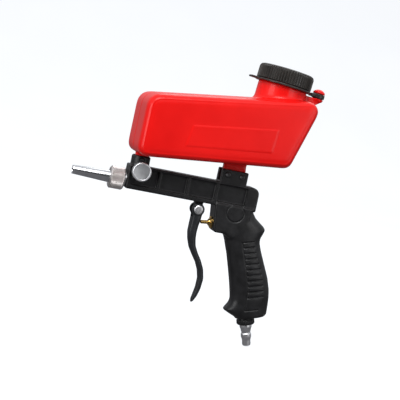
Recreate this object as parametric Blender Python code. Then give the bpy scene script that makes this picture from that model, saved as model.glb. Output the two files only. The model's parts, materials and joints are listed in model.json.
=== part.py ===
"""A hand-held, gravity-fed blasting gun: hopper, body, nozzle, flow valve, trigger and air valve.

Frame: the origin is the centre of the pistol grip. +X runs from the nozzle to the back of the gun,
+Z is up, and the flow valve's knob is on the -Y side. Lengths are metres, angles are radians.
Most places are given from the barrel's mouth, by at(back, side, up): how far behind the body's
front face, how far to the side, and how far above the barrel's axis.
"""

import math

import bmesh
import bpy
from mathutils import Vector

# ---- driving sizes ----------------------------------------------------------------------------
FIT_GAP = 0.0003            # left between two pieces that touch
WALL_OVERLAP = 0.0012       # how far one volume of a moulding is sunk into the next

# The body, from the barrel's mouth
FACE_AHEAD = 0.1440         # front face of the body ahead of the grip's centre
BORE_HEIGHT = 0.0720        # barrel axis above the grip's centre
BEAM_LENGTH = 0.1350
BEAM_BACK_ROUND = 0.0065
BEAM_WIDTH = 0.0200
BEAM_TOP = 0.0163           # above the barrel axis
BEAM_BOTTOM = 0.0078        # below the barrel axis
BEAM_EDGE = 0.0012
RISER_RADIUS = 0.0025       # passage from the air valve up to the barrel
RISER_DEPTH = 0.0120        # along the air valve's axis
WEB_THICKNESS = 0.0120      # left between the pockets of the two sides
TOP_FLANGE = 0.0022
BOTTOM_FLANGE = 0.0044
FRONT_PLATE = 0.0022
RIB_THICKNESS = 0.0026
RIB_PITCH = 0.0297
RIB_COUNT = 3
POCKET_END = 0.1225
HEAD_WIDTH = 0.0230
HEAD_EDGE = 0.0034
HEAD_CHIN = 0.0082          # how far the block reaches below the air valve

# The grip
GRIP_RAKE = math.radians(15.0)
GRIP_TOP_BACK = 0.1278      # where the grip's axis starts, level with the spur
GRIP_TOP_DOWN = 0.0299
GRIP_LENGTH = 0.0890        # from the spur down to the butt
GRIP_SECTION_POWER = 2.5    # 2 is an ellipse, more is squarer
BADGE_RADIUS = 0.0090
BADGE_BACK = 0.1144
BADGE_DOWN = 0.0120
BADGE_GROOVE = 0.0008
GROOVE_COUNT = 10
GROOVE_DEPTH = 0.0008
GROOVE_WIDTH = 0.0012
GROOVE_FIRST = 0.0154       # below the spur
GROOVE_PITCH = 0.0057
GROOVE_LENGTH = 0.0130
GROOVE_REAR = 0.0015        # behind the grip's axis, where each groove starts
GROOVED_HALF_WIDTH = 0.0128 # of the grip, where the grooves are cut
GRIP_BORE_RADIUS = 0.0032

# Hopper
HOPPER_WIDTH = 0.0740
HOPPER_WALL = 0.0022
HOPPER_EDGE = 0.0080        # round along the two side outlines
HOPPER_CORNERS = (0.0095, 0.0085, 0.0105, 0.0125)   # front low, back low, back high, front high
HOPPER_FRONT_LEAN = 0.0006  # how far back the front face leans over its height
HOPPER_FRONT = 0.0002       # behind the body's front face
HOPPER_BASE = 0.0266        # lowest corner above the barrel axis
HOPPER_LENGTH = 0.1535      # along its base
HOPPER_FRONT_HEIGHT = 0.0612
HOPPER_BACK_HEIGHT = 0.0745
BASE_SLOPE = math.radians(6.0)
BACK_LEAN = math.radians(17.0)
NECK_LEAN = math.radians(5.0)
NECK_BACK = 0.1364          # where the filler neck's axis leaves the hopper
NECK_UP = 0.1060
NECK_RADIUS = 0.0250
NECK_HEIGHT = 0.0152
MOUTH_RADIUS = NECK_RADIUS - 0.0040
COLLAR_RADIUS = NECK_RADIUS - 0.0016      # the threaded part, inside the cap
COLLAR_HEIGHT = 0.0130

# Cap and its tether
CAP_RADIUS = NECK_RADIUS + 0.0031
CAP_TOP = 0.0024
CAP_RIBS = 32
CAP_RIB_DEPTH = 0.0009
CAP_BORE = COLLAR_RADIUS + 0.0016
CAP_EDGE = 0.0026           # round at the top of the cap's skirt
GASKET_THICKNESS = 0.0016
TETHER_THICKNESS = 0.0020
TETHER_RADIUS = CAP_RADIUS + 0.0011
TAB_LENGTH = 0.0065
TAB_WIDTH = 0.0110
STRAP_WIDTH = 0.0130
STRAP_THICKNESS = 0.0044
PEG_BACK = 0.1762
PEG_UP = 0.1168             # top of the boss that the tether's eye lies on
PEG_RADIUS = 0.0032
PEG_HEAD_RADIUS = 0.0066
PEG_HEAD_HEIGHT = 0.0045
BOSS_RADIUS = 0.0064
BOSS_HEIGHT = 0.0030
GUSSET_WIDTH = 0.0085

# Feed port: hopper spigot, socket and flow valve
PORT_BACK = 0.0112
SOCKET_RADIUS = 0.0094
SOCKET_CHAMFER = 0.0012
SOCKET_TOP = 0.0262         # above the barrel axis
SPIGOT_RADIUS = 0.0065
SPIGOT_LENGTH = 0.0086      # how deep it sits in the socket
PORT_RADIUS = 0.0035
OUTLET_SEAL_THICKNESS = 0.0012
VALVE_UP = 0.0115           # spindle axis above the barrel axis
SPINDLE_RADIUS = 0.0040
KNOB_RADIUS = 0.0095
KNOB_THICKNESS = 0.0085
KNOB_FACE = 0.0220          # outer face from the gun's middle
KNOB_RIDGES = 24
KNOB_KNURL = 0.0004
KNOB_HUB_RADIUS = 0.0058
KNOB_SOCKET = 0.0060        # how deep the spindle sits in the knob
CLIP_THICKNESS = 0.0008

# Barrel: insert, jet, nozzle and nut
INSERT_HEAD_RADIUS = 0.0070
INSERT_HEAD = 0.0090        # stands out of the body
INSERT_RADIUS = 0.0045
INSERT_LENGTH = 0.0210
MIX_RADIUS = 0.0034
JET_RADIUS = 0.0020
JET_BORE = 0.0010
JET_NOSE = 0.0055           # behind the front face
JET_BASE = 0.0080
TUBE_RADIUS = 0.0035
TUBE_WALL = 0.0010
NOZZLE_BORE = 0.0070
NOZZLE_TIP_RADIUS = 0.0043
NOZZLE_ROOT_RADIUS = 0.0061
NOZZLE_REACH = 0.0530       # tip ahead of the front face
NOZZLE_FLANGE_RADIUS = 0.0078
NOZZLE_FLANGE = 0.0028
NOZZLE_TAIL_RADIUS = 0.0046
NOZZLE_TAIL = 0.0045
NOZZLE_SEAL = 0.0012
NUT_RADIUS = 0.0111
NUT_LENGTH = 0.0145
NUT_GAP = 0.0017            # between the nut's back and the body
NUT_RIDGES = 24
NUT_KNURL = 0.0003
THREAD_CLEARANCE = 0.0004

# Trigger
PIN_BACK = 0.0774
PIN_DOWN = 0.0157
PIN_RADIUS = 0.0020
PIN_HEAD_RADIUS = 0.0046
PIN_HEAD = 0.0014
TRIGGER_WIDTH = 0.0140
TRIGGER_EYE = PIN_DOWN - BEAM_BOTTOM - 0.0013
LUG_WIDTH = 0.0078
LUG_RADIUS = 0.0046
LUG_STALK = 0.0086          # front to back, just inside the lug's round end
LUG_SIDE_GAP = 0.0004
FORK_DEPTH = 0.0085         # below the pin

# Air valve
VALVE_TILT = math.radians(6.5)
VALVE_BACK = 0.0947         # where its axis leaves the block under the beam
VALVE_DOWN = 0.0264
STEM_RADIUS = 0.0019
STEM_REACH = 0.0118         # out of the block
PACKING_RADIUS = 0.0063
PACKING_HEAD = 0.0034
PACKING_THREAD_RADIUS = 0.0048
PACKING_THREAD = 0.0070
SEAT_RADIUS = 0.0044
SEAT_HOLE = 0.0026
SEAT_DEPTH = 0.0155
SEAT_THICKNESS = 0.0040
POPPET_RADIUS = 0.0036
POPPET_THICKNESS = 0.0030
POPPET_WASHER = 0.0012
SPRING_RADIUS = 0.0033
SPRING_WIRE = 0.0006
SPRING_TURNS = 5
CHAMBER_DEPTH = 0.0385

# Air inlet at the butt
RING_RADIUS = 0.0093
RING_HEIGHT = 0.0068
SHANK_RADIUS = 0.0048
SHANK_LENGTH = 0.0125       # inside the butt
INLET_BORE = 0.0028
PLUG_LENGTH = 0.0222        # below the ring nut
INLET_SEAL_THICKNESS = 0.0012
PLUG_SHOULDER = 0.0062
PLUG_NECK = 0.0044          # the groove that the coupler's balls drop into
PLUG_COLLAR = 0.0054
PLUG_TIP = 0.0038

# Rear bracket and the hopper's foot
BRACKET_START = 0.0926
BRACKET_LENGTH = 0.0273
BRACKET_TOP = 0.0297        # above the barrel axis
FOOT_THICKNESS = 0.0080
FOOT_SIDE_GAP = 0.0004
FOOT_INSET = 0.0012         # left under the foot
FOOT_END_GAP = 0.0021       # how far the foot stops inside each end of the bracket
SCREW_RADIUS = 0.0015
SCREW_HEAD_RADIUS = 0.0026
SCREW_HEAD = 0.0010
SCREW_UP = 0.0245
SCREW_INSET = 0.0062        # from each end of the bracket
SET_SCREW_RADIUS = 0.0018
SET_SCREW_LENGTH = 0.0026

FINE = 32                   # sides of a large turned piece
COARSE = 20                 # sides of a small one

# ---- finishes ---------------------------------------------------------------------------------
FINISHES = {
    "red_plastic": ((0.66, 0.012, 0.010, 1.0), 0.30, 0.0),
    "cap_plastic": ((0.025, 0.022, 0.020, 1.0), 0.50, 0.0),
    "black_moulding": ((0.018, 0.018, 0.020, 1.0), 0.48, 0.0),
    "rubber": ((0.012, 0.012, 0.012, 1.0), 0.75, 0.0),
    "satin_aluminium": ((0.56, 0.53, 0.50, 1.0), 0.38, 1.0),
    "polished_steel": ((0.62, 0.63, 0.64, 1.0), 0.14, 1.0),
    "plated_steel": ((0.52, 0.52, 0.53, 1.0), 0.28, 1.0),
    "brass": ((0.62, 0.40, 0.13, 1.0), 0.26, 1.0),
}


def finish(name):
    """The material of this finish, made the first time that it is asked for."""
    material = bpy.data.materials.get(name)
    if material is None:
        colour, roughness, metallic = FINISHES[name]
        material = bpy.data.materials.new(name)
        material.use_nodes = True
        shader = material.node_tree.nodes["Principled BSDF"]
        shader.inputs["Base Color"].default_value = colour
        shader.inputs["Roughness"].default_value = roughness
        shader.inputs["Metallic"].default_value = metallic
    return material


# ---- places -----------------------------------------------------------------------------------
def at(back, side=0.0, up=0.0):
    """A place given from the barrel's mouth."""
    return Vector((back - FACE_AHEAD, side, BORE_HEIGHT + up))


GRIP_DOWN = Vector((math.sin(GRIP_RAKE), 0.0, -math.cos(GRIP_RAKE)))
GRIP_REAR = Vector((math.cos(GRIP_RAKE), 0.0, math.sin(GRIP_RAKE)))


def on_grip(down, rear=0.0, side=0.0):
    """A place given from the top of the grip's axis."""
    start = at(GRIP_TOP_BACK, 0.0, -GRIP_TOP_DOWN)
    return start + GRIP_DOWN * down + GRIP_REAR * rear + Vector((0.0, side, 0.0))


VALVE_IN = Vector((math.cos(VALVE_TILT), 0.0, math.sin(VALVE_TILT)))
VALVE_OVER = Vector((-math.sin(VALVE_TILT), 0.0, math.cos(VALVE_TILT)))


def on_valve(depth, over=0.0):
    """A place given from where the air valve's axis enters the block."""
    return at(VALVE_BACK, 0.0, -VALVE_DOWN) + VALVE_IN * depth + VALVE_OVER * over


NECK_AXIS = Vector((math.sin(NECK_LEAN), 0.0, math.cos(NECK_LEAN)))
NECK_REAR = Vector((math.cos(NECK_LEAN), 0.0, -math.sin(NECK_LEAN)))


def on_neck(height, rear=0.0):
    """A place given from the foot of the filler neck's axis."""
    return at(NECK_BACK, 0.0, NECK_UP) + NECK_AXIS * height + NECK_REAR * rear


X_AXIS = Vector((1.0, 0.0, 0.0))
Y_AXIS = Vector((0.0, 1.0, 0.0))
Z_AXIS = Vector((0.0, 0.0, 1.0))


# ---- modelling helpers ------------------------------------------------------------------------
def add_object(name, mesh, material=None, smooth=True):
    """Links a mesh as an object and gives it its finish."""
    obj = bpy.data.objects.new(name, mesh)
    bpy.context.scene.collection.objects.link(obj)
    if material:
        mesh.materials.append(finish(material))
    if smooth:
        mesh.shade_smooth()
        mesh.set_sharp_from_angle(angle=math.radians(35.0))
    return obj


def mesh_from(name, shape):
    """Turns a bmesh into a mesh whose faces point out."""
    bmesh.ops.recalc_face_normals(shape, faces=shape.faces)
    mesh = bpy.data.meshes.new(name)
    shape.to_mesh(mesh)
    shape.free()
    return mesh


def stand_on(obj, foot, direction):
    """Puts the object's own Z along direction, with its origin at foot."""
    obj.rotation_euler = direction.to_track_quat("Z", "Y").to_euler()
    obj.location = foot
    return obj


def ring_of(shape, height, radius, sides, ridge=0.0):
    """One ring of a turned piece; ridge lowers every second point to make straight knurling."""
    ring = []
    for i in range(sides):
        angle = 2.0 * math.pi * i / sides
        reach = radius - ridge * (i % 2)
        ring.append(shape.verts.new((reach * math.cos(angle), reach * math.sin(angle), height)))
    return ring


def bridge(shape, low, high):
    """Faces between two rings of the same count."""
    count = len(low)
    for i in range(count):
        j = (i + 1) % count
        shape.faces.new((low[i], low[j], high[j], high[i]))


def turned(name, rows, sides, material=None, closed=False):
    """A piece turned about Z. Each row is (height, radius) or (height, radius, ridge).

    A closed profile is a hollow piece. An open one is solid, with a flat face at each end.
    """
    shape = bmesh.new()
    rings = [ring_of(shape, row[0], row[1], sides, *row[2:]) for row in rows]
    for low, high in zip(rings, rings[1:]):
        bridge(shape, low, high)
    if closed:
        bridge(shape, rings[-1], rings[0])
    else:
        shape.faces.new(rings[0])
        shape.faces.new(rings[-1])
    return add_object(name, mesh_from(name, shape), material)


def tube(name, outer, inner, length, sides, material=None):
    """A plain sleeve or washer, its foot at z = 0."""
    rows = [(0.0, inner), (0.0, outer), (length, outer), (length, inner)]
    return turned(name, rows, sides, material, closed=True)


def rod(name, radius, length, sides, material=None, chamfer=0.0):
    """A solid pin along Z from z = 0, with both ends chamfered."""
    rows = [(0.0, radius - chamfer), (length, radius - chamfer)]
    if chamfer > 0.0:
        rows[1:1] = [(chamfer, radius), (length - chamfer, radius)]
    return turned(name, rows, sides, material)


def o_ring(name, radius, section, sides, material):
    """A ring of round section about Z; radius is to the middle of the section."""
    facets = 6
    rows = []
    for i in range(facets):
        angle = 2.0 * math.pi * i / facets
        rows.append((section * math.sin(angle), radius + section * math.cos(angle)))
    return turned(name, rows, sides, material, closed=True)


def plate(name, outline, width, material=None, middle=0.0):
    """An outline of (x, z) places, extruded along Y about its middle."""
    shape = bmesh.new()
    near = [shape.verts.new((x, middle - width / 2.0, z)) for x, z in outline]
    face = shape.faces.new(near)
    made = bmesh.ops.extrude_face_region(shape, geom=[face])["geom"]
    moved = [item for item in made if isinstance(item, bmesh.types.BMVert)]
    bmesh.ops.translate(shape, verts=moved, vec=(0.0, width, 0.0))
    return add_object(name, mesh_from(name, shape), material)


def block(name, low, high, material=None):
    """A box between two corners."""
    shape = bmesh.new()
    bmesh.ops.create_cube(shape, size=1.0)
    size = high - low
    middle = (high + low) / 2.0
    bmesh.ops.scale(shape, vec=size, verts=shape.verts)
    bmesh.ops.translate(shape, vec=middle, verts=shape.verts)
    return add_object(name, mesh_from(name, shape), material, smooth=False)


def rounded(corners, steps=5):
    """An outline whose corners, each (x, z, radius), are rounded by arcs."""
    points = []
    count = len(corners)
    for i, (x, z, radius) in enumerate(corners):
        here = Vector((x, z))
        if radius <= 0.0:
            points.append((x, z))
            continue
        before = (Vector(corners[i - 1][:2]) - here).normalized()
        after = (Vector(corners[(i + 1) % count][:2]) - here).normalized()
        half = before.angle(after) / 2.0
        centre = here + (before + after).normalized() * (radius / math.sin(half))
        start = here + before * (radius / math.tan(half)) - centre
        sweep = math.copysign(math.pi - 2.0 * half, before.cross(after))
        for k in range(steps + 1):
            angle = math.atan2(start.y, start.x) - sweep * k / steps
            arc = Vector((radius * math.cos(angle), radius * math.sin(angle)))
            points.append(tuple(centre + arc))
    return points


def soften(obj, width, segments=2, angle=50.0):
    """Rounds the edges that are sharper than the angle."""
    bevel = obj.modifiers.new("soften", "BEVEL")
    bevel.width = width
    bevel.segments = segments
    bevel.limit_method = "ANGLE"
    bevel.angle_limit = math.radians(angle)
    return obj


def as_tool(obj):
    """Marks an object that only shapes others."""
    obj.hide_render = True
    obj.display_type = "WIRE"
    return obj


def shaped_by(obj, tool, operation):
    """Adds the tool to the object or takes it away."""
    change = obj.modifiers.new(tool.name, "BOOLEAN")
    change.operation = operation
    change.solver = "EXACT"
    change.object = as_tool(tool)
    return obj


def join(obj, *tools):
    """Unites the tools with the object, one after another."""
    for tool in tools:
        shaped_by(obj, tool, "UNION")
    return obj


def cut(obj, *tools):
    """Takes the tools away from the object, one after another."""
    for tool in tools:
        shaped_by(obj, tool, "DIFFERENCE")
    return obj


def drill(name, start, direction, radius, length, sides=COARSE):
    """A cutter for a round hole, turned so that no facet's edge lies on the gun's middle plane."""
    hole = stand_on(rod(name, radius, length, sides), start, direction)
    hole.rotation_euler.rotate_axis("Z", 0.6 * math.pi / sides)
    return hole


# ---- gun body ---------------------------------------------------------------------------------
def beam():
    """The bar along the top, with a rounded back corner."""
    corners = []
    for back, up, radius in (
        (0.0, -BEAM_BOTTOM, 0.0),
        (BEAM_LENGTH, -BEAM_BOTTOM, 0.0),
        (BEAM_LENGTH, BEAM_TOP, BEAM_BACK_ROUND),
        (0.0, BEAM_TOP, 0.0),
    ):
        place = at(back, 0.0, up)
        corners.append((place.x, place.z, radius))
    bar = plate("gun_body", rounded(corners, 4), BEAM_WIDTH, "black_moulding")
    return soften(bar, BEAM_EDGE, 2, 60.0)


def pocket_cutters():
    """The hollows between the ribs, on both sides of the web."""
    edges = [FRONT_PLATE]
    for i in range(RIB_COUNT):
        rib = FRONT_PLATE + RIB_THICKNESS / 2.0 + RIB_PITCH * (i + 1) - RIB_THICKNESS
        edges += [rib, rib + RIB_THICKNESS]
    edges.append(POCKET_END)
    low = BOTTOM_FLANGE - BEAM_BOTTOM
    high = BEAM_TOP - TOP_FLANGE
    tools = []
    for i, (start, end) in enumerate(zip(edges[0::2], edges[1::2])):
        for side, label in ((-1.0, "near"), (1.0, "far")):
            inner = side * WEB_THICKNESS / 2.0
            outer = side * BEAM_WIDTH
            name = f"pocket_{label}_{i + 1}"
            tool = block(
                name,
                at(start, min(inner, outer), low),
                at(end, max(inner, outer), high),
            )
            tools.append(tool)
    return tools


def head():
    """The block under the beam's back, which holds the air valve and carries the grip."""
    top = BOTTOM_FLANGE - BEAM_BOTTOM - WALL_OVERLAP
    face_rise = (top + VALVE_DOWN) / math.cos(VALVE_TILT)
    corners = []
    for over, radius in ((face_rise, 0.0), (-HEAD_CHIN, HEAD_EDGE)):
        place = on_valve(0.0, over)
        corners.append((place.x, place.z, radius))
    chin = corners[-1][1] - BORE_HEIGHT
    for back, up, radius in (
        (0.1068, chin, 0.0),
        (0.1160, chin - 0.0040, 0.0),
        (0.1300, -0.0290, 0.0),
        (0.1306, -0.0080, 0.0),
        (BEAM_LENGTH - FIT_GAP, top, 0.0),
    ):
        place = at(back, 0.0, up)
        corners.append((place.x, place.z, radius))
    piece = plate("head", rounded(corners, 4), HEAD_WIDTH)
    return soften(piece, HEAD_EDGE - FIT_GAP, 3, 60.0)


GRIP_DRAWN_LENGTH = 0.0890  # the length that the stations below are drawn for
# Each station: how far below the spur, front and rear of the grip from its axis, half its width.
GRIP_STATIONS = (
    (-0.0225, -0.0200, 0.0122, 0.0102),
    (-0.0180, -0.0200, 0.0128, 0.0108),
    (-0.0130, -0.0200, 0.0148, 0.0114),
    (-0.0085, -0.0200, 0.0183, 0.0117),
    (-0.0040, -0.0200, 0.0222, 0.0118),
    (0.0000, -0.0200, 0.0246, 0.0118),
    (0.0040, -0.0190, 0.0222, 0.0119),
    (0.0085, -0.0182, 0.0188, 0.0120),
    (0.0130, -0.0178, 0.0180, 0.0121),
    (0.0208, -0.0167, 0.0189, 0.0125),
    (0.0362, -0.0158, 0.0220, 0.0130),
    (0.0491, -0.0152, 0.0247, 0.0133),
    (0.0619, -0.0151, 0.0257, 0.0133),
    (0.0685, -0.0154, 0.0253, 0.0132),
    (0.0723, -0.0174, 0.0248, 0.0131),
    (0.0780, -0.0236, 0.0239, 0.0128),
    (0.0830, -0.0176, 0.0228, 0.0124),
    (0.0868, -0.0124, 0.0218, 0.0118),
    (GRIP_DRAWN_LENGTH, -0.0108, 0.0196, 0.0104),
)


def grip_section(shape, station, points):
    """One rounded cross-section of the grip, square to its axis."""
    down, front, rear, half_width = station
    if down > 0.0:
        down *= GRIP_LENGTH / GRIP_DRAWN_LENGTH
    middle = (front + rear) / 2.0
    half_depth = (rear - front) / 2.0
    power = 2.0 / GRIP_SECTION_POWER
    ring = []
    for i in range(points):
        angle = 2.0 * math.pi * i / points
        along = math.copysign(abs(math.cos(angle)) ** power, math.cos(angle)) * half_depth
        across = math.copysign(abs(math.sin(angle)) ** power, math.sin(angle)) * half_width
        ring.append(shape.verts.new(on_grip(down, middle + along, across)))
    return ring


def grip():
    """The pistol grip, lofted through its stations."""
    points = 22
    shape = bmesh.new()
    rings = [grip_section(shape, station, points) for station in GRIP_STATIONS]
    for high, low in zip(rings, rings[1:]):
        bridge(shape, high, low)
    shape.faces.new(rings[0])
    shape.faces.new(rings[-1])
    return add_object("grip", mesh_from("grip", shape))


def socket():
    """The post on the beam's front end that takes the hopper's spigot."""
    rows = [
        (BEAM_TOP - WALL_OVERLAP, SOCKET_RADIUS),
        (SOCKET_TOP - SOCKET_CHAMFER, SOCKET_RADIUS),
        (SOCKET_TOP, SOCKET_RADIUS - SOCKET_CHAMFER),
    ]
    post = turned("socket", rows, FINE)
    return stand_on(post, at(PORT_BACK), Z_AXIS)


def valve_boss():
    """The round boss across the web that carries the flow valve's spindle."""
    length = BEAM_WIDTH - 0.0006
    boss = rod("valve_boss", SPINDLE_RADIUS + 0.0026, length, COARSE)
    return stand_on(boss, at(PORT_BACK, -length / 2.0, VALVE_UP), Y_AXIS)


def bracket():
    """The cheeks at the back of the beam that hold the hopper's foot."""
    piece = block(
        "bracket",
        at(BRACKET_START, -BEAM_WIDTH / 2.0, BEAM_TOP - WALL_OVERLAP),
        at(BRACKET_START + BRACKET_LENGTH, BEAM_WIDTH / 2.0, BRACKET_TOP),
    )
    return soften(piece, 0.0006, 1)


def lug():
    """The tongue under the beam that the trigger hangs from."""
    eye_width = LUG_WIDTH - 0.0002
    eye = rod("lug_eye", LUG_RADIUS, eye_width, COARSE)
    stand_on(eye, at(PIN_BACK, -eye_width / 2.0, -PIN_DOWN), Y_AXIS)
    stalk = block(
        "lug_stalk",
        at(PIN_BACK - LUG_STALK / 2.0, -LUG_WIDTH / 2.0, -PIN_DOWN),
        at(PIN_BACK + LUG_STALK / 2.0, LUG_WIDTH / 2.0, -BEAM_BOTTOM + WALL_OVERLAP),
    )
    return join(stalk, eye)


def body_bores():
    """Every passage through the body, from the hopper to the nozzle and from the inlet to the jet."""
    insert_end = INSERT_LENGTH + 0.0013 + JET_BASE
    insert = drill("insert_bore", at(-0.001), X_AXIS, INSERT_RADIUS + FIT_GAP, insert_end)
    air_length = air_turn().x - at(INSERT_LENGTH).x + 0.003
    air = drill("air_bore", at(INSERT_LENGTH), X_AXIS, TUBE_RADIUS + FIT_GAP, air_length)
    riser_foot = on_valve(RISER_DEPTH)
    riser_height = BORE_HEIGHT - riser_foot.z + 0.001
    riser = drill("riser_bore", riser_foot, Z_AXIS, RISER_RADIUS, riser_height, 16)
    spigot_floor = SOCKET_TOP - SPIGOT_LENGTH - OUTLET_SEAL_THICKNESS - 2.0 * FIT_GAP
    seat = drill("spigot_bore", at(PORT_BACK, 0.0, spigot_floor), Z_AXIS, SPIGOT_RADIUS + FIT_GAP, 0.02)
    port = drill("port_bore", at(PORT_BACK, 0.0, 0.001), Z_AXIS, PORT_RADIUS, 0.03)
    spindle_end = at(PORT_BACK, -0.02, VALVE_UP)
    spindle = drill("spindle_bore", spindle_end, Y_AXIS, SPINDLE_RADIUS + FIT_GAP, 0.04)
    screw_end = at(PORT_BACK, -0.02, SET_SCREW_UP)
    set_screw = drill("set_screw_bore", screw_end, Y_AXIS, SET_SCREW_RADIUS + FIT_GAP, 0.02, 16)
    pin = drill("pin_bore", at(PIN_BACK, -0.01, -PIN_DOWN), Y_AXIS, PIN_RADIUS + FIT_GAP, 0.02, 16)
    chamber = 0.004 + CHAMBER_DEPTH
    thread_radius = PACKING_THREAD_RADIUS + FIT_GAP
    thread = drill("packing_bore", on_valve(-0.004), VALVE_IN, thread_radius, chamber)
    inlet_foot = on_grip(GRIP_LENGTH + 0.002)
    inlet_length = 0.002 + inlet_depth()
    inlet = drill("shank_bore", inlet_foot, -GRIP_DOWN, SHANK_RADIUS + FIT_GAP, inlet_length)
    grip_length = GRIP_LENGTH + 0.002 + 0.006
    air_up = drill("grip_bore", inlet_foot, -GRIP_DOWN, GRIP_BORE_RADIUS, grip_length, 16)
    return [insert, air, riser, seat, port, spindle, set_screw, pin, thread, inlet, air_up]


SET_SCREW_UP = SOCKET_TOP - SPIGOT_LENGTH / 2.0


def air_turn():
    """Where the riser meets the barrel's axis."""
    return Vector((on_valve(RISER_DEPTH).x, 0.0, BORE_HEIGHT))


def inlet_depth():
    """How deep the shank and its seal sit in the butt."""
    return SHANK_LENGTH + INLET_SEAL_THICKNESS + 2.0 * FIT_GAP


def foot_slot():
    """The slot between the bracket's cheeks."""
    half = FOOT_THICKNESS / 2.0 + FOOT_SIDE_GAP
    return block(
        "foot_slot",
        at(BRACKET_START - 0.002, -half, BEAM_TOP + FOOT_INSET),
        at(BRACKET_START + BRACKET_LENGTH + 0.002, half, BRACKET_TOP + 0.002),
    )


def screw_backs():
    """Where the two bracket screws stand behind the front face."""
    return (BRACKET_START + SCREW_INSET, BRACKET_START + BRACKET_LENGTH - SCREW_INSET)


def screw_holes(prefix, radius):
    """Cutters for the two bracket screws."""
    return [
        drill(f"{prefix}_{i}", at(back, -0.02, SCREW_UP), Y_AXIS, radius, 0.04, 16)
        for i, back in enumerate(screw_backs(), 1)
    ]


def badge_groove(side, label):
    """A ring-shaped groove around the blank badge on the head's flank."""
    depth = BADGE_GROOVE + 0.002
    face = HEAD_WIDTH / 2.0
    tool = tube(f"badge_groove_{label}", BADGE_RADIUS + 0.0004, BADGE_RADIUS - 0.0004, depth, FINE)
    foot = at(BADGE_BACK, side * (face - BADGE_GROOVE), -BADGE_DOWN)
    return stand_on(tool, foot, Y_AXIS * side)


def grip_grooves():
    """Short grooves across the rear half of each flank, for the fingers."""
    tools = []
    for i in range(GROOVE_COUNT):
        down = GROOVE_FIRST + GROOVE_PITCH * i
        for side, label in ((-1.0, "near"), (1.0, "far")):
            name = f"groove_{label}_{i + 1}"
            tool = block(
                name,
                Vector((-GROOVE_WIDTH / 2.0, -0.003, 0.0)),
                Vector((GROOVE_WIDTH / 2.0, 0.003, GROOVE_LENGTH)),
            )
            tool.rotation_euler = (0.0, math.pi / 2.0 - GRIP_RAKE, 0.0)
            outer = GROOVED_HALF_WIDTH + 0.003 - GROOVE_DEPTH
            tool.location = on_grip(down, GROOVE_REAR, side * outer)
            tools.append(tool)
    return tools


def make_gun_body():
    """The moulded body: bar, head and grip in one, then every hole and groove in it."""
    body = beam()
    cut(body, *pocket_cutters())
    join(body, head(), grip(), socket(), valve_boss(), bracket(), lug())
    cut(body, *body_bores())
    cut(body, foot_slot(), *screw_holes("screw_hole", SCREW_RADIUS + FIT_GAP))
    cut(body, badge_groove(-1.0, "near"), badge_groove(1.0, "far"))
    cut(body, *grip_grooves())
    return body


# ---- hopper -----------------------------------------------------------------------------------
def hopper_corners(inset):
    """The hopper's side outline as four corners with their radii, moved inwards by inset."""
    front_low = at(HOPPER_FRONT, 0.0, HOPPER_BASE)
    back_low = front_low + Vector((math.cos(BASE_SLOPE), 0.0, math.sin(BASE_SLOPE))) * HOPPER_LENGTH
    back_high = back_low + Vector((math.sin(BACK_LEAN), 0.0, math.cos(BACK_LEAN))) * HOPPER_BACK_HEIGHT
    front_high = front_low + Vector((HOPPER_FRONT_LEAN, 0.0, HOPPER_FRONT_HEIGHT))
    places = [front_low, back_low, back_high, front_high]
    moved = []
    for i, place in enumerate(places):
        before = (place - places[i - 1]).normalized()
        after = (places[(i + 1) % 4] - place).normalized()
        inward = (Vector((-before.z, 0.0, before.x)) + Vector((-after.z, 0.0, after.x))).normalized()
        half = (math.pi - before.angle(after)) / 2.0
        corner = place + inward * (inset / math.sin(half))
        moved.append((corner.x, corner.z, HOPPER_CORNERS[i] - inset))
    return moved


def hopper_volume(name, inset, material=None):
    """The hopper's rounded box, or the hollow inside it."""
    outline = rounded(hopper_corners(inset), 5)
    volume = plate(name, outline, HOPPER_WIDTH - 2.0 * inset, material)
    return soften(volume, HOPPER_EDGE - inset, 4, 60.0)


def neck_solid():
    """The filler neck: a wide foot, then the collar that the cap screws onto."""
    top = NECK_HEIGHT + COLLAR_HEIGHT
    rows = [
        (-0.006, NECK_RADIUS),
        (NECK_HEIGHT, NECK_RADIUS),
        (NECK_HEIGHT, COLLAR_RADIUS),
        (top - 0.0008, COLLAR_RADIUS),
        (top, COLLAR_RADIUS - 0.0008),
    ]
    return stand_on(turned("neck", rows, FINE), on_neck(0.0), NECK_AXIS)


def spigot():
    """The outlet tube under the hopper's front."""
    low = SOCKET_TOP - SPIGOT_LENGTH
    pipe = rod("spigot", SPIGOT_RADIUS, HOPPER_BASE + 0.006 - low, COARSE)
    return stand_on(pipe, at(PORT_BACK, 0.0, low), Z_AXIS)


def foot_tab():
    """The tongue under the hopper's back that the bracket holds."""
    start = BRACKET_START + FOOT_END_GAP
    length = BRACKET_LENGTH - 2.0 * FOOT_END_GAP
    low = BEAM_TOP + FOOT_INSET + FIT_GAP
    rise = math.tan(BASE_SLOPE)
    points = []
    for back in (start, start + length):
        points.append((back, low))
    for back in (start + length, start):
        points.append((back, HOPPER_BASE + rise * (back - HOPPER_FRONT) + WALL_OVERLAP))
    outline = [(at(back, 0.0, up).x, at(back, 0.0, up).z) for back, up in points]
    return plate("foot_tab", outline, FOOT_THICKNESS)


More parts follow.
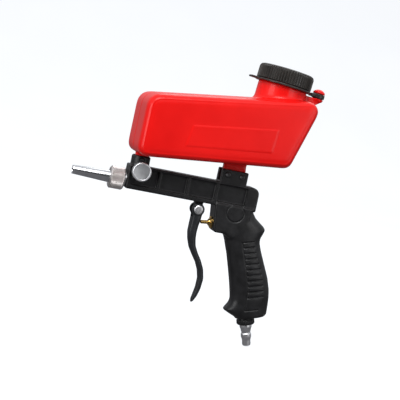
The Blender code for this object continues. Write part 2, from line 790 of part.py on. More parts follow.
def peg():
    """The boss, stem and mushroom head that the tether hooks over."""
    under_head = STRAP_THICKNESS + 2.0 * FIT_GAP
    top = under_head + PEG_HEAD_HEIGHT
    rows = [
        (-BOSS_HEIGHT, BOSS_RADIUS * 0.8),
        (0.0, BOSS_RADIUS),
        (0.0, PEG_RADIUS),
        (under_head, PEG_RADIUS),
        (under_head, PEG_HEAD_RADIUS),
        (under_head + PEG_HEAD_HEIGHT * 0.5, PEG_HEAD_RADIUS * 0.87),
        (top - PEG_HEAD_HEIGHT * 0.12, PEG_HEAD_RADIUS * 0.5),
        (top, PEG_HEAD_RADIUS * 0.2),
    ]
    return stand_on(turned("peg", rows, COARSE), peg_foot(), NECK_AXIS)


def peg_foot():
    """The top of the boss, on the peg's axis."""
    return at(PEG_BACK, 0.0, PEG_UP)


def peg_gusset():
    """The rib that carries the boss out from the neck over the hopper's back corner."""
    foot = on_neck(0.0)
    height = (peg_foot() - foot).dot(NECK_AXIS) - 0.0004
    reach = (peg_foot() - foot).dot(NECK_REAR)
    outline = [
        on_neck(-0.002, NECK_RADIUS - 0.002),
        on_neck(height, NECK_RADIUS - 0.002),
        on_neck(height, reach + BOSS_RADIUS * 0.8),
        on_neck(height - BOSS_HEIGHT + 0.0005, reach + BOSS_RADIUS * 0.6),
        on_neck(-0.002, reach - BOSS_RADIUS * 2.0),
    ]
    return plate("peg_gusset", [(place.x, place.z) for place in outline], GUSSET_WIDTH)


def make_hopper():
    """The hopper with its neck, outlet, foot and peg, and the hollow inside."""
    hopper = hopper_volume("hopper", 0.0, "red_plastic")
    join(hopper, neck_solid(), spigot(), foot_tab(), peg_gusset(), peg())
    cut(hopper, hopper_volume("hopper_hollow", HOPPER_WALL))
    cut(hopper, drill("mouth", on_neck(-0.010), NECK_AXIS, MOUTH_RADIUS, 0.060, FINE))
    low = SOCKET_TOP - SPIGOT_LENGTH
    cut(hopper, drill("outlet", at(PORT_BACK, 0.0, low - 0.001), Z_AXIS, PORT_RADIUS, 0.018))
    cut(hopper, *screw_holes("foot_hole", SCREW_RADIUS + FIT_GAP))
    return hopper


def cap_foot():
    """Height of the cap's lower edge along the neck's axis."""
    return NECK_HEIGHT + TETHER_THICKNESS + 2.0 * FIT_GAP


def make_cap():
    """The screw cap, ribbed around its skirt, and the gasket inside its top."""
    foot = cap_foot()
    rim = NECK_HEIGHT + COLLAR_HEIGHT
    roof = rim - foot + GASKET_THICKNESS + 2.0 * FIT_GAP
    top = roof + CAP_TOP
    edge = CAP_EDGE
    rows = [
        (0.0, CAP_BORE),
        (0.0, CAP_RADIUS - 0.0006),
        (0.0006, CAP_RADIUS, CAP_RIB_DEPTH),
        (top - edge, CAP_RADIUS, CAP_RIB_DEPTH),
        (top - edge * 0.3, CAP_RADIUS - edge * 0.4),
        (top, CAP_RADIUS - edge * 1.2),
    ]
    inner = [(roof, CAP_BORE)]
    cap = turned("hopper_cap", inner + rows, 2 * CAP_RIBS, "cap_plastic")
    stand_on(cap, on_neck(foot), NECK_AXIS)
    outer = CAP_BORE - FIT_GAP
    gasket = tube("cap_gasket", outer, MOUTH_RADIUS - 0.002, GASKET_THICKNESS, FINE, "rubber")
    stand_on(gasket, on_neck(rim + FIT_GAP), NECK_AXIS)


def make_tether():
    """The ring under the cap with its thumb tab, and the strap from it to the peg."""
    inner = COLLAR_RADIUS + THREAD_CLEARANCE
    ring = tube("tether_ring", TETHER_RADIUS, inner, TETHER_THICKNESS, FINE, "cap_plastic")
    stand_on(ring, on_neck(NECK_HEIGHT + FIT_GAP), NECK_AXIS)
    tab = block(
        "tether_tab",
        Vector((-TETHER_RADIUS - TAB_LENGTH, -TAB_WIDTH / 2.0, 0.0)),
        Vector((-TETHER_RADIUS + 0.002, TAB_WIDTH / 2.0, TETHER_THICKNESS)),
    )
    soften(tab, 0.0004, 1)
    tab.rotation_euler = (0.0, NECK_LEAN, 0.0)
    tab.location = on_neck(NECK_HEIGHT + FIT_GAP)
    join(ring, tab)
    foot = peg_foot() + NECK_AXIS * FIT_GAP
    along = on_neck(0.0, TETHER_RADIUS + FIT_GAP)
    start = (along - foot).dot(NECK_REAR)
    strap = rod("tether_strap", STRAP_WIDTH / 2.0, STRAP_THICKNESS, FINE, "cap_plastic")
    stand_on(strap, foot, NECK_AXIS)
    band = block(
        "strap_band",
        Vector((start, -STRAP_WIDTH * 0.38, 0.0006)),
        Vector((0.0, STRAP_WIDTH * 0.38, STRAP_THICKNESS - 0.0006)),
    )
    band.rotation_euler = (0.0, NECK_LEAN, 0.0)
    band.location = foot
    join(strap, band)
    cut(strap, drill("strap_hole", foot - NECK_AXIS * 0.002, NECK_AXIS, PEG_RADIUS + FIT_GAP, 0.02))


# ---- feed port and flow valve -----------------------------------------------------------------
def make_feed_port():
    """The seal under the hopper's outlet, and the screw that grips it."""
    low = SOCKET_TOP - SPIGOT_LENGTH - OUTLET_SEAL_THICKNESS - FIT_GAP
    seal = tube("outlet_seal", SPIGOT_RADIUS, PORT_RADIUS, OUTLET_SEAL_THICKNESS, COARSE, "rubber")
    stand_on(seal, at(PORT_BACK, 0.0, low), Z_AXIS)
    screw = rod("hopper_set_screw", SET_SCREW_RADIUS, SET_SCREW_LENGTH, 16, "plated_steel", 0.0003)
    tip = SPIGOT_RADIUS + FIT_GAP
    stand_on(screw, at(PORT_BACK, -tip, SET_SCREW_UP), -Y_AXIS)


def make_flow_valve():
    """A spindle with a cross hole, turned by the knurled knob on its near end."""
    hub_back = BEAM_WIDTH / 2.0 + FIT_GAP
    knob_back = KNOB_FACE - KNOB_THICKNESS
    depth = KNOB_FACE - hub_back
    shaft = SPINDLE_RADIUS * 0.75
    rows = [
        (0.0, shaft + FIT_GAP),
        (0.0, KNOB_HUB_RADIUS),
        (knob_back - hub_back, KNOB_HUB_RADIUS),
        (knob_back - hub_back, KNOB_RADIUS - 0.0006),
        (knob_back - hub_back + 0.0006, KNOB_RADIUS, KNOB_KNURL),
        (depth - 0.0008, KNOB_RADIUS, KNOB_KNURL),
        (depth, KNOB_RADIUS - 0.0009),
    ]
    hole = KNOB_SOCKET
    inner = [(hole, shaft + FIT_GAP)]
    knob = turned("flow_valve_knob", inner + rows, 2 * KNOB_RIDGES, "polished_steel")
    stand_on(knob, at(PORT_BACK, -hub_back, VALVE_UP), -Y_AXIS)
    far_end = BEAM_WIDTH / 2.0 + 0.0024
    near_end = hub_back + hole - FIT_GAP
    shoulder = hub_back - FIT_GAP
    groove = BEAM_WIDTH / 2.0 + FIT_GAP
    rows = [
        (-near_end, shaft),
        (-shoulder, shaft),
        (-shoulder, SPINDLE_RADIUS),
        (groove, SPINDLE_RADIUS),
        (groove, SPINDLE_RADIUS - 0.0008),
        (groove + CLIP_THICKNESS + FIT_GAP, SPINDLE_RADIUS - 0.0008),
        (groove + CLIP_THICKNESS + FIT_GAP, SPINDLE_RADIUS),
        (far_end, SPINDLE_RADIUS - 0.0002),
    ]
    spindle = turned("flow_valve_spindle", rows, COARSE, "brass")
    stand_on(spindle, at(PORT_BACK, 0.0, VALVE_UP), Y_AXIS)
    port_start = at(PORT_BACK, 0.0, VALVE_UP - 0.01)
    cut(spindle, drill("spindle_port", port_start, Z_AXIS, PORT_RADIUS - 0.0006, 0.02, 16))
    outer = SPINDLE_RADIUS + 0.0022
    inner = SPINDLE_RADIUS - 0.0008 + 0.0002
    thickness = CLIP_THICKNESS - FIT_GAP
    clip = tube("spindle_clip", outer, inner, thickness, COARSE, "plated_steel")
    stand_on(clip, at(PORT_BACK, groove + FIT_GAP, VALVE_UP), Y_AXIS)


# ---- barrel -----------------------------------------------------------------------------------
def make_barrel():
    """The threaded insert, the air jet inside it and the tube that feeds the jet."""
    head_face = -INSERT_HEAD
    tail_pocket = NOZZLE_TAIL - NOZZLE_SEAL + 0.0008
    rows = [
        (head_face, NOZZLE_TAIL_RADIUS + FIT_GAP),
        (head_face, INSERT_HEAD_RADIUS - 0.0004),
        (head_face + 0.0005, INSERT_HEAD_RADIUS),
        (-FIT_GAP, INSERT_HEAD_RADIUS),
        (-FIT_GAP, INSERT_RADIUS),
        (INSERT_LENGTH, INSERT_RADIUS),
        (INSERT_LENGTH, MIX_RADIUS),
        (head_face + tail_pocket, MIX_RADIUS),
        (head_face + tail_pocket, NOZZLE_TAIL_RADIUS + FIT_GAP),
    ]
    insert = turned("barrel_insert", rows, COARSE, "plated_steel", closed=True)
    stand_on(insert, at(0.0), X_AXIS)
    cut(insert, drill("insert_port", at(PORT_BACK), Z_AXIS, PORT_RADIUS - 0.0006, 0.01, 16))
    base = INSERT_LENGTH + FIT_GAP
    end = base + JET_BASE - 2.0 * FIT_GAP
    rows = [
        (JET_NOSE, JET_BORE),
        (JET_NOSE, JET_RADIUS - 0.0005),
        (JET_NOSE + 0.002, JET_RADIUS),
        (base, JET_RADIUS),
        (base, TUBE_RADIUS),
        (end, TUBE_RADIUS),
        (end, JET_BORE + 0.0006),
        (base, JET_BORE),
    ]
    jet = turned("air_jet", rows, COARSE, "brass", closed=True)
    stand_on(jet, at(0.0), X_AXIS)
    start = end + FIT_GAP
    length = air_turn().x - at(start).x - 0.0030
    pipe = tube("air_tube", TUBE_RADIUS, TUBE_RADIUS - TUBE_WALL, length, COARSE, "brass")
    stand_on(pipe, at(start), X_AXIS)


def make_nozzle():
    """The taper nozzle, the washer behind its flange and the nut that pulls it in."""
    seal_front = -INSERT_HEAD - FIT_GAP - NOZZLE_SEAL
    flange_back = seal_front - FIT_GAP
    flange_front = flange_back - NOZZLE_FLANGE
    nut_front = -NUT_GAP - NUT_LENGTH
    bore = NOZZLE_BORE / 2.0
    rows = [
        (-NOZZLE_REACH, bore),
        (-NOZZLE_REACH, NOZZLE_TIP_RADIUS - 0.0002),
        (-NOZZLE_REACH + 0.0004, NOZZLE_TIP_RADIUS),
        (nut_front, NOZZLE_ROOT_RADIUS),
        (flange_front, NOZZLE_ROOT_RADIUS),
        (flange_front, NOZZLE_FLANGE_RADIUS),
        (flange_back, NOZZLE_FLANGE_RADIUS),
        (flange_back, NOZZLE_TAIL_RADIUS),
        (flange_back + NOZZLE_TAIL, NOZZLE_TAIL_RADIUS),
        (flange_back + NOZZLE_TAIL, bore),
    ]
    nozzle = turned("nozzle", rows, FINE, "polished_steel", closed=True)
    stand_on(nozzle, at(0.0), X_AXIS)
    inner = NOZZLE_TAIL_RADIUS + FIT_GAP
    seal = tube("nozzle_seal", INSERT_HEAD_RADIUS, inner, NOZZLE_SEAL, COARSE, "rubber")
    stand_on(seal, at(seal_front), X_AXIS)
    lip_back = flange_front - FIT_GAP
    rows = [
        (nut_front, NOZZLE_ROOT_RADIUS + FIT_GAP),
        (nut_front, NUT_RADIUS - 0.0012),
        (nut_front + 0.0010, NUT_RADIUS, NUT_KNURL),
        (-NUT_GAP - 0.0010, NUT_RADIUS, NUT_KNURL),
        (-NUT_GAP, NUT_RADIUS - 0.0010),
        (-NUT_GAP, INSERT_HEAD_RADIUS + THREAD_CLEARANCE),
        (seal_front, INSERT_HEAD_RADIUS + THREAD_CLEARANCE),
        (seal_front, NOZZLE_FLANGE_RADIUS + FIT_GAP),
        (lip_back, NOZZLE_FLANGE_RADIUS + FIT_GAP),
        (lip_back, NOZZLE_ROOT_RADIUS + FIT_GAP),
    ]
    nut = turned("nozzle_nut", rows, 2 * NUT_RIDGES, "satin_aluminium", closed=True)
    stand_on(nut, at(0.0), X_AXIS)


# ---- trigger ----------------------------------------------------------------------------------
# Each station on the trigger's middle line: behind the front face, below the barrel, half its
# thickness and half its width.
TRIGGER_STATIONS = (
    (0.0776, 0.0150, 0.0060, 0.0070),
    (0.0779, 0.0200, 0.0057, 0.0070),
    (0.0777, 0.0260, 0.0051, 0.0069),
    (0.0772, 0.0320, 0.0048, 0.0067),
    (0.0770, 0.0390, 0.0046, 0.0065),
    (0.0780, 0.0460, 0.0041, 0.0062),
    (0.0803, 0.0535, 0.0035, 0.0060),
    (0.0845, 0.0605, 0.0031, 0.0058),
    (0.0893, 0.0672, 0.0030, 0.0057),
    (0.0933, 0.0752, 0.0031, 0.0056),
    (0.0955, 0.0840, 0.0030, 0.0055),
    (0.0950, 0.0940, 0.0027, 0.0052),
    (0.0933, 0.1018, 0.0023, 0.0047),
    (0.0915, 0.1072, 0.0016, 0.0038),
    (0.0907, 0.1098, 0.0007, 0.0022),
)


def lever():
    """The curved lever, lofted along its middle line."""
    points = 14
    power = 2.0 / 3.0
    middles = [at(back, 0.0, -down) for back, down, _, _ in TRIGGER_STATIONS]
    shape = bmesh.new()
    rings = []
    for i, (_, _, half_thickness, half_width) in enumerate(TRIGGER_STATIONS):
        before = middles[max(i - 1, 0)]
        after = middles[min(i + 1, len(middles) - 1)]
        along = (after - before).normalized()
        across = Vector((-along.z, 0.0, along.x))
        ring = []
        for k in range(points):
            angle = 2.0 * math.pi * (k + 0.5) / points
            out = math.copysign(abs(math.cos(angle)) ** power, math.cos(angle)) * half_thickness
            side = math.copysign(abs(math.sin(angle)) ** power, math.sin(angle)) * half_width
            ring.append(shape.verts.new(middles[i] + across * out + Y_AXIS * side))
        rings.append(ring)
    for high, low in zip(rings, rings[1:]):
        bridge(shape, high, low)
    shape.faces.new(rings[0])
    shape.faces.new(rings[-1])
    return add_object("trigger_lever", mesh_from("trigger_lever", shape))


def make_trigger():
    """The trigger with its forked eye, the pin it swings on and the clip that keeps the pin."""
    pivot = at(PIN_BACK, 0.0, -PIN_DOWN)
    eye = rod("trigger", TRIGGER_EYE, TRIGGER_WIDTH, FINE, "black_moulding", 0.0008)
    stand_on(eye, pivot - Y_AXIS * TRIGGER_WIDTH / 2.0, Y_AXIS)
    join(eye, lever())
    half_slot = LUG_WIDTH / 2.0 + LUG_SIDE_GAP
    slot = block(
        "fork_slot",
        pivot + Vector((-0.02, -half_slot, -FORK_DEPTH)),
        pivot + Vector((0.02, half_slot, 0.02)),
    )
    soften(slot, 0.0015, 2)
    cut(eye, slot)
    cut(eye, drill("trigger_hole", pivot - Y_AXIS * 0.01, Y_AXIS, PIN_RADIUS + FIT_GAP, 0.02, 16))
    near = TRIGGER_WIDTH / 2.0 + FIT_GAP
    far = TRIGGER_WIDTH / 2.0 + 0.0024
    groove = TRIGGER_WIDTH / 2.0 + FIT_GAP
    neck = PIN_RADIUS - 0.0005
    rows = [
        (-near - PIN_HEAD, PIN_HEAD_RADIUS - 0.0004),
        (-near - PIN_HEAD + 0.0004, PIN_HEAD_RADIUS),
        (-near, PIN_HEAD_RADIUS),
        (-near, PIN_RADIUS),
        (groove, PIN_RADIUS),
        (groove, neck),
        (groove + CLIP_THICKNESS + FIT_GAP, neck),
        (groove + CLIP_THICKNESS + FIT_GAP, PIN_RADIUS),
        (far, PIN_RADIUS - 0.0002),
    ]
    stand_on(turned("trigger_pin", rows, COARSE, "plated_steel"), pivot, Y_AXIS)
    thickness = CLIP_THICKNESS - FIT_GAP
    outer = PIN_RADIUS + 0.0018
    clip = tube("trigger_pin_clip", outer, neck + 0.0002, thickness, COARSE, "plated_steel")
    stand_on(clip, pivot + Y_AXIS * (groove + FIT_GAP), Y_AXIS)


# ---- air valve --------------------------------------------------------------------------------
def make_air_valve():
    """The packing nut, stem, poppet washer, seat and spring, all on one axis."""
    rows = [
        (-PACKING_HEAD, STEM_RADIUS + FIT_GAP),
        (-PACKING_HEAD, PACKING_RADIUS * 0.55),
        (-PACKING_HEAD * 0.62, PACKING_RADIUS * 0.62),
        (-PACKING_HEAD * 0.5, PACKING_RADIUS - 0.0006),
        (-PACKING_HEAD * 0.35, PACKING_RADIUS),
        (-FIT_GAP, PACKING_RADIUS),
        (-FIT_GAP, PACKING_THREAD_RADIUS),
        (PACKING_THREAD, PACKING_THREAD_RADIUS),
        (PACKING_THREAD, STEM_RADIUS + FIT_GAP),
    ]
    nut = turned("packing_nut", rows, COARSE, "brass", closed=True)
    stand_on(nut, on_valve(0.0), VALVE_IN)
    ring_section = 0.0010
    packing = o_ring("stem_packing", STEM_RADIUS + FIT_GAP + ring_section, ring_section, COARSE, "rubber")
    stand_on(packing, on_valve(PACKING_THREAD + FIT_GAP + ring_section), VALVE_IN)
    seat_back = SEAT_DEPTH + SEAT_THICKNESS
    seat = tube("valve_seat", SEAT_RADIUS, SEAT_HOLE, SEAT_THICKNESS, COARSE, "brass")
    stand_on(seat, on_valve(SEAT_DEPTH), VALVE_IN)
    washer_start = seat_back + FIT_GAP
    washer = tube("valve_washer", POPPET_RADIUS, STEM_RADIUS + FIT_GAP, POPPET_WASHER, COARSE, "rubber")
    stand_on(washer, on_valve(washer_start), VALVE_IN)
    head_start = washer_start + POPPET_WASHER + FIT_GAP
    head_end = head_start + POPPET_THICKNESS
    rows = [
        (-STEM_REACH + 0.0003, STEM_RADIUS * 0.6),
        (-STEM_REACH + 0.0012, STEM_RADIUS),
        (head_start, STEM_RADIUS),
        (head_start, POPPET_RADIUS),
        (head_end, POPPET_RADIUS),
        (head_end, SPRING_RADIUS - SPRING_WIRE - 0.0005),
        (head_end + 0.0020, SPRING_RADIUS - SPRING_WIRE - 0.0008),
    ]
    stand_on(turned("valve_stem", rows, COARSE, "brass"), on_valve(0.0), VALVE_IN)
    make_spring(head_end + FIT_GAP + SPRING_WIRE)


def make_spring(start):
    """The closing spring behind the poppet, a round wire along a helix."""
    length = CHAMBER_DEPTH - FIT_GAP - SPRING_WIRE - start
    curve = bpy.data.curves.new("valve_spring", "CURVE")
    curve.dimensions = "3D"
    curve.bevel_depth = SPRING_WIRE
    curve.bevel_resolution = 1
    curve.use_fill_caps = True
    line = curve.splines.new("POLY")
    steps = 10 * SPRING_TURNS
    line.points.add(steps)
    for i in range(steps + 1):
        share = i / steps
        angle = 2.0 * math.pi * SPRING_TURNS * share
        place = on_valve(start + length * share, SPRING_RADIUS * math.cos(angle))
        place += Y_AXIS * (SPRING_RADIUS * math.sin(angle))
        line.points[i].co = (*place, 1.0)
    spring = bpy.data.objects.new("valve_spring", curve)
    spring.data.materials.append(finish("plated_steel"))
    bpy.context.scene.collection.objects.link(spring)


# ---- air inlet --------------------------------------------------------------------------------
def make_inlet():
    """The ring nut under the butt, the quick-connect plug through it, and the plug's seal."""
    top = GRIP_LENGTH + FIT_GAP
    edge = 0.0008
    rows = [
        (0.0, SHANK_RADIUS + FIT_GAP),
        (0.0, RING_RADIUS - edge),
        (edge, RING_RADIUS),
        (RING_HEIGHT - edge, RING_RADIUS),
        (RING_HEIGHT, RING_RADIUS - edge),
        (RING_HEIGHT, SHANK_RADIUS + FIT_GAP),
    ]
    ring = turned("inlet_ring_nut", rows, FINE, "black_moulding", closed=True)
    stand_on(ring, on_grip(top), GRIP_DOWN)
    start = RING_HEIGHT + FIT_GAP
    end = start + PLUG_LENGTH
    rows = [
        (-SHANK_LENGTH, INLET_BORE),
        (-SHANK_LENGTH, SHANK_RADIUS),
        (start, SHANK_RADIUS),
        (start, PLUG_SHOULDER),
        (start + 0.0034, PLUG_SHOULDER - 0.0002),
        (start + 0.0078, 0.0048),
        (start + 0.0086, PLUG_NECK),
        (start + 0.0098, PLUG_COLLAR),
        (start + 0.0130, PLUG_COLLAR - 0.0001),
        (end - 0.0012, PLUG_NECK),
        (end, PLUG_TIP),
        (end, INLET_BORE - 0.0006),
        (start, INLET_BORE - 0.0006),
    ]
    plug = turned("inlet_plug", rows, COARSE, "plated_steel", closed=True)
    stand_on(plug, on_grip(top), GRIP_DOWN)
    seal = tube("inlet_seal", SHANK_RADIUS, INLET_BORE, INLET_SEAL_THICKNESS, COARSE, "rubber")
    stand_on(seal, on_grip(top - SHANK_LENGTH - FIT_GAP), -GRIP_DOWN)


# ---- bracket screws ---------------------------------------------------------------------------
def make_bracket_screws():
    """Two screws through the cheeks and the hopper's foot."""
    face = BEAM_WIDTH / 2.0 + FIT_GAP
    for name, back in zip(("bracket_screw_front", "bracket_screw_rear"), screw_backs()):
        rows = [
            (-face - SCREW_HEAD, SCREW_HEAD_RADIUS - 0.0005),
            (-face - SCREW_HEAD * 0.4, SCREW_HEAD_RADIUS),
            (-face, SCREW_HEAD_RADIUS),
            (-face, SCREW_RADIUS),
            (BEAM_WIDTH / 2.0 - 0.0010, SCREW_RADIUS),
            (BEAM_WIDTH / 2.0 - 0.0004, SCREW_RADIUS - 0.0005),
        ]
        stand_on(turned(name, rows, 16, "plated_steel"), at(back, 0.0, SCREW_UP), Y_AXIS)


def clear_scene():
    """Removes every object that the new file starts with."""
    for obj in list(bpy.data.objects):
        bpy.data.objects.remove(obj)


clear_scene()
make_gun_body()
make_hopper()
make_cap()
make_tether()
make_feed_port()
make_flow_valve()
make_barrel()
make_nozzle()
make_trigger()
make_air_valve()
make_inlet()
make_bracket_screws()
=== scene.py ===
# %% [markdown]
# # A gravity-fed blasting gun
# The gun has a plastic hopper on top, a moulded body with a pistol grip, a bright nozzle in a
# knurled nut, a flow knob, a trigger, and an air plug at the butt. The CAD model already gives
# every piece its place and its motion. This lesson gives the pieces their surfaces.

import json
import math

import bmesh
import bpy
import numpy as np
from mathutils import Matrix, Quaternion, Vector


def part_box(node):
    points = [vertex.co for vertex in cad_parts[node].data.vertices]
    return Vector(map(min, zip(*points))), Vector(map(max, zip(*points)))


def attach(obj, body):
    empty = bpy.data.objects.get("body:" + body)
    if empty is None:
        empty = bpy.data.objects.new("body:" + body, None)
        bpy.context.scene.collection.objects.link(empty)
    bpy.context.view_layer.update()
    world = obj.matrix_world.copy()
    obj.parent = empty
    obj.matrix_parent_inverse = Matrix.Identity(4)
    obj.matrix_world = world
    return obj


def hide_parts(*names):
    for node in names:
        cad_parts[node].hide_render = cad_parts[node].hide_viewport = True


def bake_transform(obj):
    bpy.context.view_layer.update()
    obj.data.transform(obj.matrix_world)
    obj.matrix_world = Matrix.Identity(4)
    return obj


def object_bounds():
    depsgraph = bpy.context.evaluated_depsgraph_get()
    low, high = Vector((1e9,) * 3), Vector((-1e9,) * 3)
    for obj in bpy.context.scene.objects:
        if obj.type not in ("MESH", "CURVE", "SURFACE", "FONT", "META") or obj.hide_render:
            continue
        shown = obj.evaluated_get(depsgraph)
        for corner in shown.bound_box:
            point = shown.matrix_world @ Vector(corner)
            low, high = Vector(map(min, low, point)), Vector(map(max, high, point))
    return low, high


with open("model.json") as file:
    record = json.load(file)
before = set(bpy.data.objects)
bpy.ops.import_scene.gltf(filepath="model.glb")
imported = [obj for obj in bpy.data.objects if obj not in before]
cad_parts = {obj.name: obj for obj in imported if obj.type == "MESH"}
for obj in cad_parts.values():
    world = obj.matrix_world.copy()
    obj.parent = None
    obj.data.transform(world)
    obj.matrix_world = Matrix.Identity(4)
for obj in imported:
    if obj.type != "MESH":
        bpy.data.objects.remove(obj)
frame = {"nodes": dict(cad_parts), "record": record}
nodes = frame["nodes"]
record = frame["record"]
cad_low, cad_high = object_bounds()
print("nodes:", len(nodes), "size in mm:", [round(1000 * s, 1) for s in cad_high - cad_low])

# %% [markdown]
# ## Where things are
# The joints in the record already say where the turning pieces turn, so their axes are read from
# there and not typed again. Each axis is a point and a direction. The grip's axis comes from the
# air inlet, which points straight out of the butt.

# %% Read the axes
joints = {joint["name"]: joint for joint in record["behaviour"]["joints"]}
mounts = {mount["name"]: mount for mount in record["mounts"]}
neck_foot = Vector(joints["cap_turn"]["pos_m"])
neck_up = Vector(joints["cap_turn"]["axis"]).normalized()
barrel_mouth = Vector(joints["nut_turn"]["pos_m"])
knob_axis = Vector(joints["flow_valve_turn"]["pos_m"])
trigger_pivot = Vector(joints["trigger_squeeze"]["pos_m"])
valve_in = Vector(joints["valve_slide"]["axis"]).normalized()
grip_down = Vector(mounts["air_inlet"]["axis"]).normalized()
grip_rear = Vector((-grip_down.z, 0.0, grip_down.x))
plug_end = Vector(mounts["air_inlet"]["pos_m"])
plug_end.y = 0.0
GRIP_TOP = 0.1186  # from the plug's end back up to the spur, along the grip
grip_top = plug_end - grip_down * GRIP_TOP
print("neck foot:", neck_foot, "grip top:", grip_top)


# %% [markdown]
# ## Materials from nodes
# Real plastic and metal are never one flat colour. Each finish here starts from a Principled
# shader. A noise texture varies the colour and the roughness a little, and a finer one feeds a
# Bump node. Object coordinates are in metres, so a noise scale of 900 gives grain about a
# millimetre across.

# %% A helper that makes a finish
def speckled(name, dark, light, rough, metallic=0.0, scale=60.0, grain=900.0, depth=0.00003, stretch=None):
    """A finish whose colour runs from dark to light, with grain in its bump."""
    material = bpy.data.materials.new(name)
    material.use_nodes = True
    tree = material.node_tree
    shader = tree.nodes["Principled BSDF"]
    shader.inputs["Metallic"].default_value = metallic
    place = tree.nodes.new("ShaderNodeTexCoord")
    source = place.outputs["Object"]
    if stretch:
        mapping = tree.nodes.new("ShaderNodeMapping")
        mapping.inputs["Scale"].default_value = stretch
        tree.links.new(source, mapping.inputs["Vector"])
        source = mapping.outputs["Vector"]
    cloud = tree.nodes.new("ShaderNodeTexNoise")
    cloud.inputs["Scale"].default_value = scale
    cloud.inputs["Detail"].default_value = 5.0
    tree.links.new(source, cloud.inputs["Vector"])
    colours = tree.nodes.new("ShaderNodeValToRGB")
    colours.color_ramp.elements[0].position = 0.32
    colours.color_ramp.elements[0].color = (*dark, 1.0)
    colours.color_ramp.elements[1].position = 0.70
    colours.color_ramp.elements[1].color = (*light, 1.0)
    tree.links.new(cloud.outputs["Fac"], colours.inputs["Fac"])
    tree.links.new(colours.outputs["Color"], shader.inputs["Base Color"])
    fine = tree.nodes.new("ShaderNodeTexNoise")
    fine.inputs["Scale"].default_value = grain
    fine.inputs["Detail"].default_value = 3.0
    tree.links.new(source, fine.inputs["Vector"])
    span = tree.nodes.new("ShaderNodeMapRange")
    span.inputs["To Min"].default_value = rough[0]
    span.inputs["To Max"].default_value = rough[1]
    tree.links.new(fine.outputs["Fac"], span.inputs["Value"])
    tree.links.new(span.outputs["Result"], shader.inputs["Roughness"])
    bump = tree.nodes.new("ShaderNodeBump")
    bump.inputs["Strength"].default_value = 0.5
    bump.inputs["Distance"].default_value = depth
    tree.links.new(fine.outputs["Fac"], bump.inputs["Height"])
    tree.links.new(bump.outputs["Normal"], shader.inputs["Normal"])
    return material


# %% The finishes
hopper_red = speckled(
    "hopper_red", (0.80, 0.0045, 0.0035), (0.92, 0.009, 0.007), (0.26, 0.36),
    scale=22.0, grain=1400.0, depth=0.00001,
)
hopper_red.node_tree.nodes["Principled BSDF"].inputs["Specular IOR Level"].default_value = 0.28
hopper_red.node_tree.nodes["Principled BSDF"].inputs["Coat Weight"].default_value = 0.06
hopper_red.node_tree.nodes["Principled BSDF"].inputs["Coat Roughness"].default_value = 0.22
cap_black = speckled(
    "cap_black", (0.022, 0.019, 0.017), (0.044, 0.040, 0.036), (0.26, 0.38),
    scale=90.0, grain=1300.0,
)
body_black = speckled(
    "body_black", (0.0075, 0.0075, 0.008), (0.018, 0.018, 0.0195), (0.30, 0.46),
    scale=140.0, grain=1700.0, depth=0.00006,
)
trigger_black = speckled(
    "trigger_black", (0.013, 0.014, 0.016), (0.024, 0.026, 0.029), (0.30, 0.44),
    scale=110.0, grain=1500.0,
)
black_rubber = speckled(
    "black_rubber", (0.008, 0.008, 0.008), (0.018, 0.018, 0.018), (0.65, 0.82),
    scale=200.0, grain=2200.0,
)
satin_aluminium = speckled(
    "satin_aluminium", (0.66, 0.62, 0.60), (0.86, 0.82, 0.80), (0.28, 0.42), 1.0,
    scale=160.0, grain=1400.0, stretch=(0.25, 1.0, 1.0),
)
bright_steel = speckled(
    "bright_steel", (0.60, 0.61, 0.63), (0.78, 0.79, 0.81), (0.16, 0.26), 1.0,
    scale=70.0, grain=900.0, depth=0.00001, stretch=(1.0, 0.3, 0.3),
)
plated_steel = speckled(
    "plated_steel", (0.66, 0.66, 0.67), (0.82, 0.82, 0.84), (0.28, 0.42), 1.0,
    scale=220.0, grain=1800.0, depth=0.00002,
)
machined_brass = speckled(
    "machined_brass", (0.50, 0.31, 0.09), (0.70, 0.47, 0.17), (0.18, 0.32), 1.0,
    scale=240.0, grain=1900.0, depth=0.00002,
)
for finish in (body_black, trigger_black, cap_black):
    finish.node_tree.nodes["Principled BSDF"].inputs["Specular IOR Level"].default_value = 0.36
print("red, blacks, rubber and metals are made")

# %% [markdown]
# ## A turned face
# The flow knob's face was cut on a lathe, so it carries fine rings around its centre. A wave
# texture in ring mode makes them. Rings bend the light into the bright bow-tie that a turned
# face shows.

# %% The knob's finish
turned_steel = speckled(
    "turned_steel", (0.66, 0.67, 0.69), (0.86, 0.87, 0.89), (0.28, 0.42), 1.0,
    scale=180.0, grain=1500.0, depth=0.00001,
)
tree = turned_steel.node_tree
place = tree.nodes.new("ShaderNodeTexCoord")
move = tree.nodes.new("ShaderNodeMapping")
move.inputs["Location"].default_value = (-knob_axis.x, 0.0, -knob_axis.z)
rings = tree.nodes.new("ShaderNodeTexWave")
rings.wave_type = "RINGS"
rings.rings_direction = "Y"
rings.inputs["Scale"].default_value = 700.0
tree.links.new(place.outputs["Object"], move.inputs["Vector"])
tree.links.new(move.outputs["Vector"], rings.inputs["Vector"])
cuts = tree.nodes.new("ShaderNodeBump")
cuts.inputs["Strength"].default_value = 0.35
cuts.inputs["Distance"].default_value = 0.00004
tree.links.new(rings.outputs["Fac"], cuts.inputs["Height"])
tree.links.new(cuts.outputs["Normal"], tree.nodes["Principled BSDF"].inputs["Normal"])

# %% [markdown]
# ## Dress the CAD pieces
# Most small pieces already have the right shape. The record says which slot each one belongs to,
# so one table gives every slot its finish.

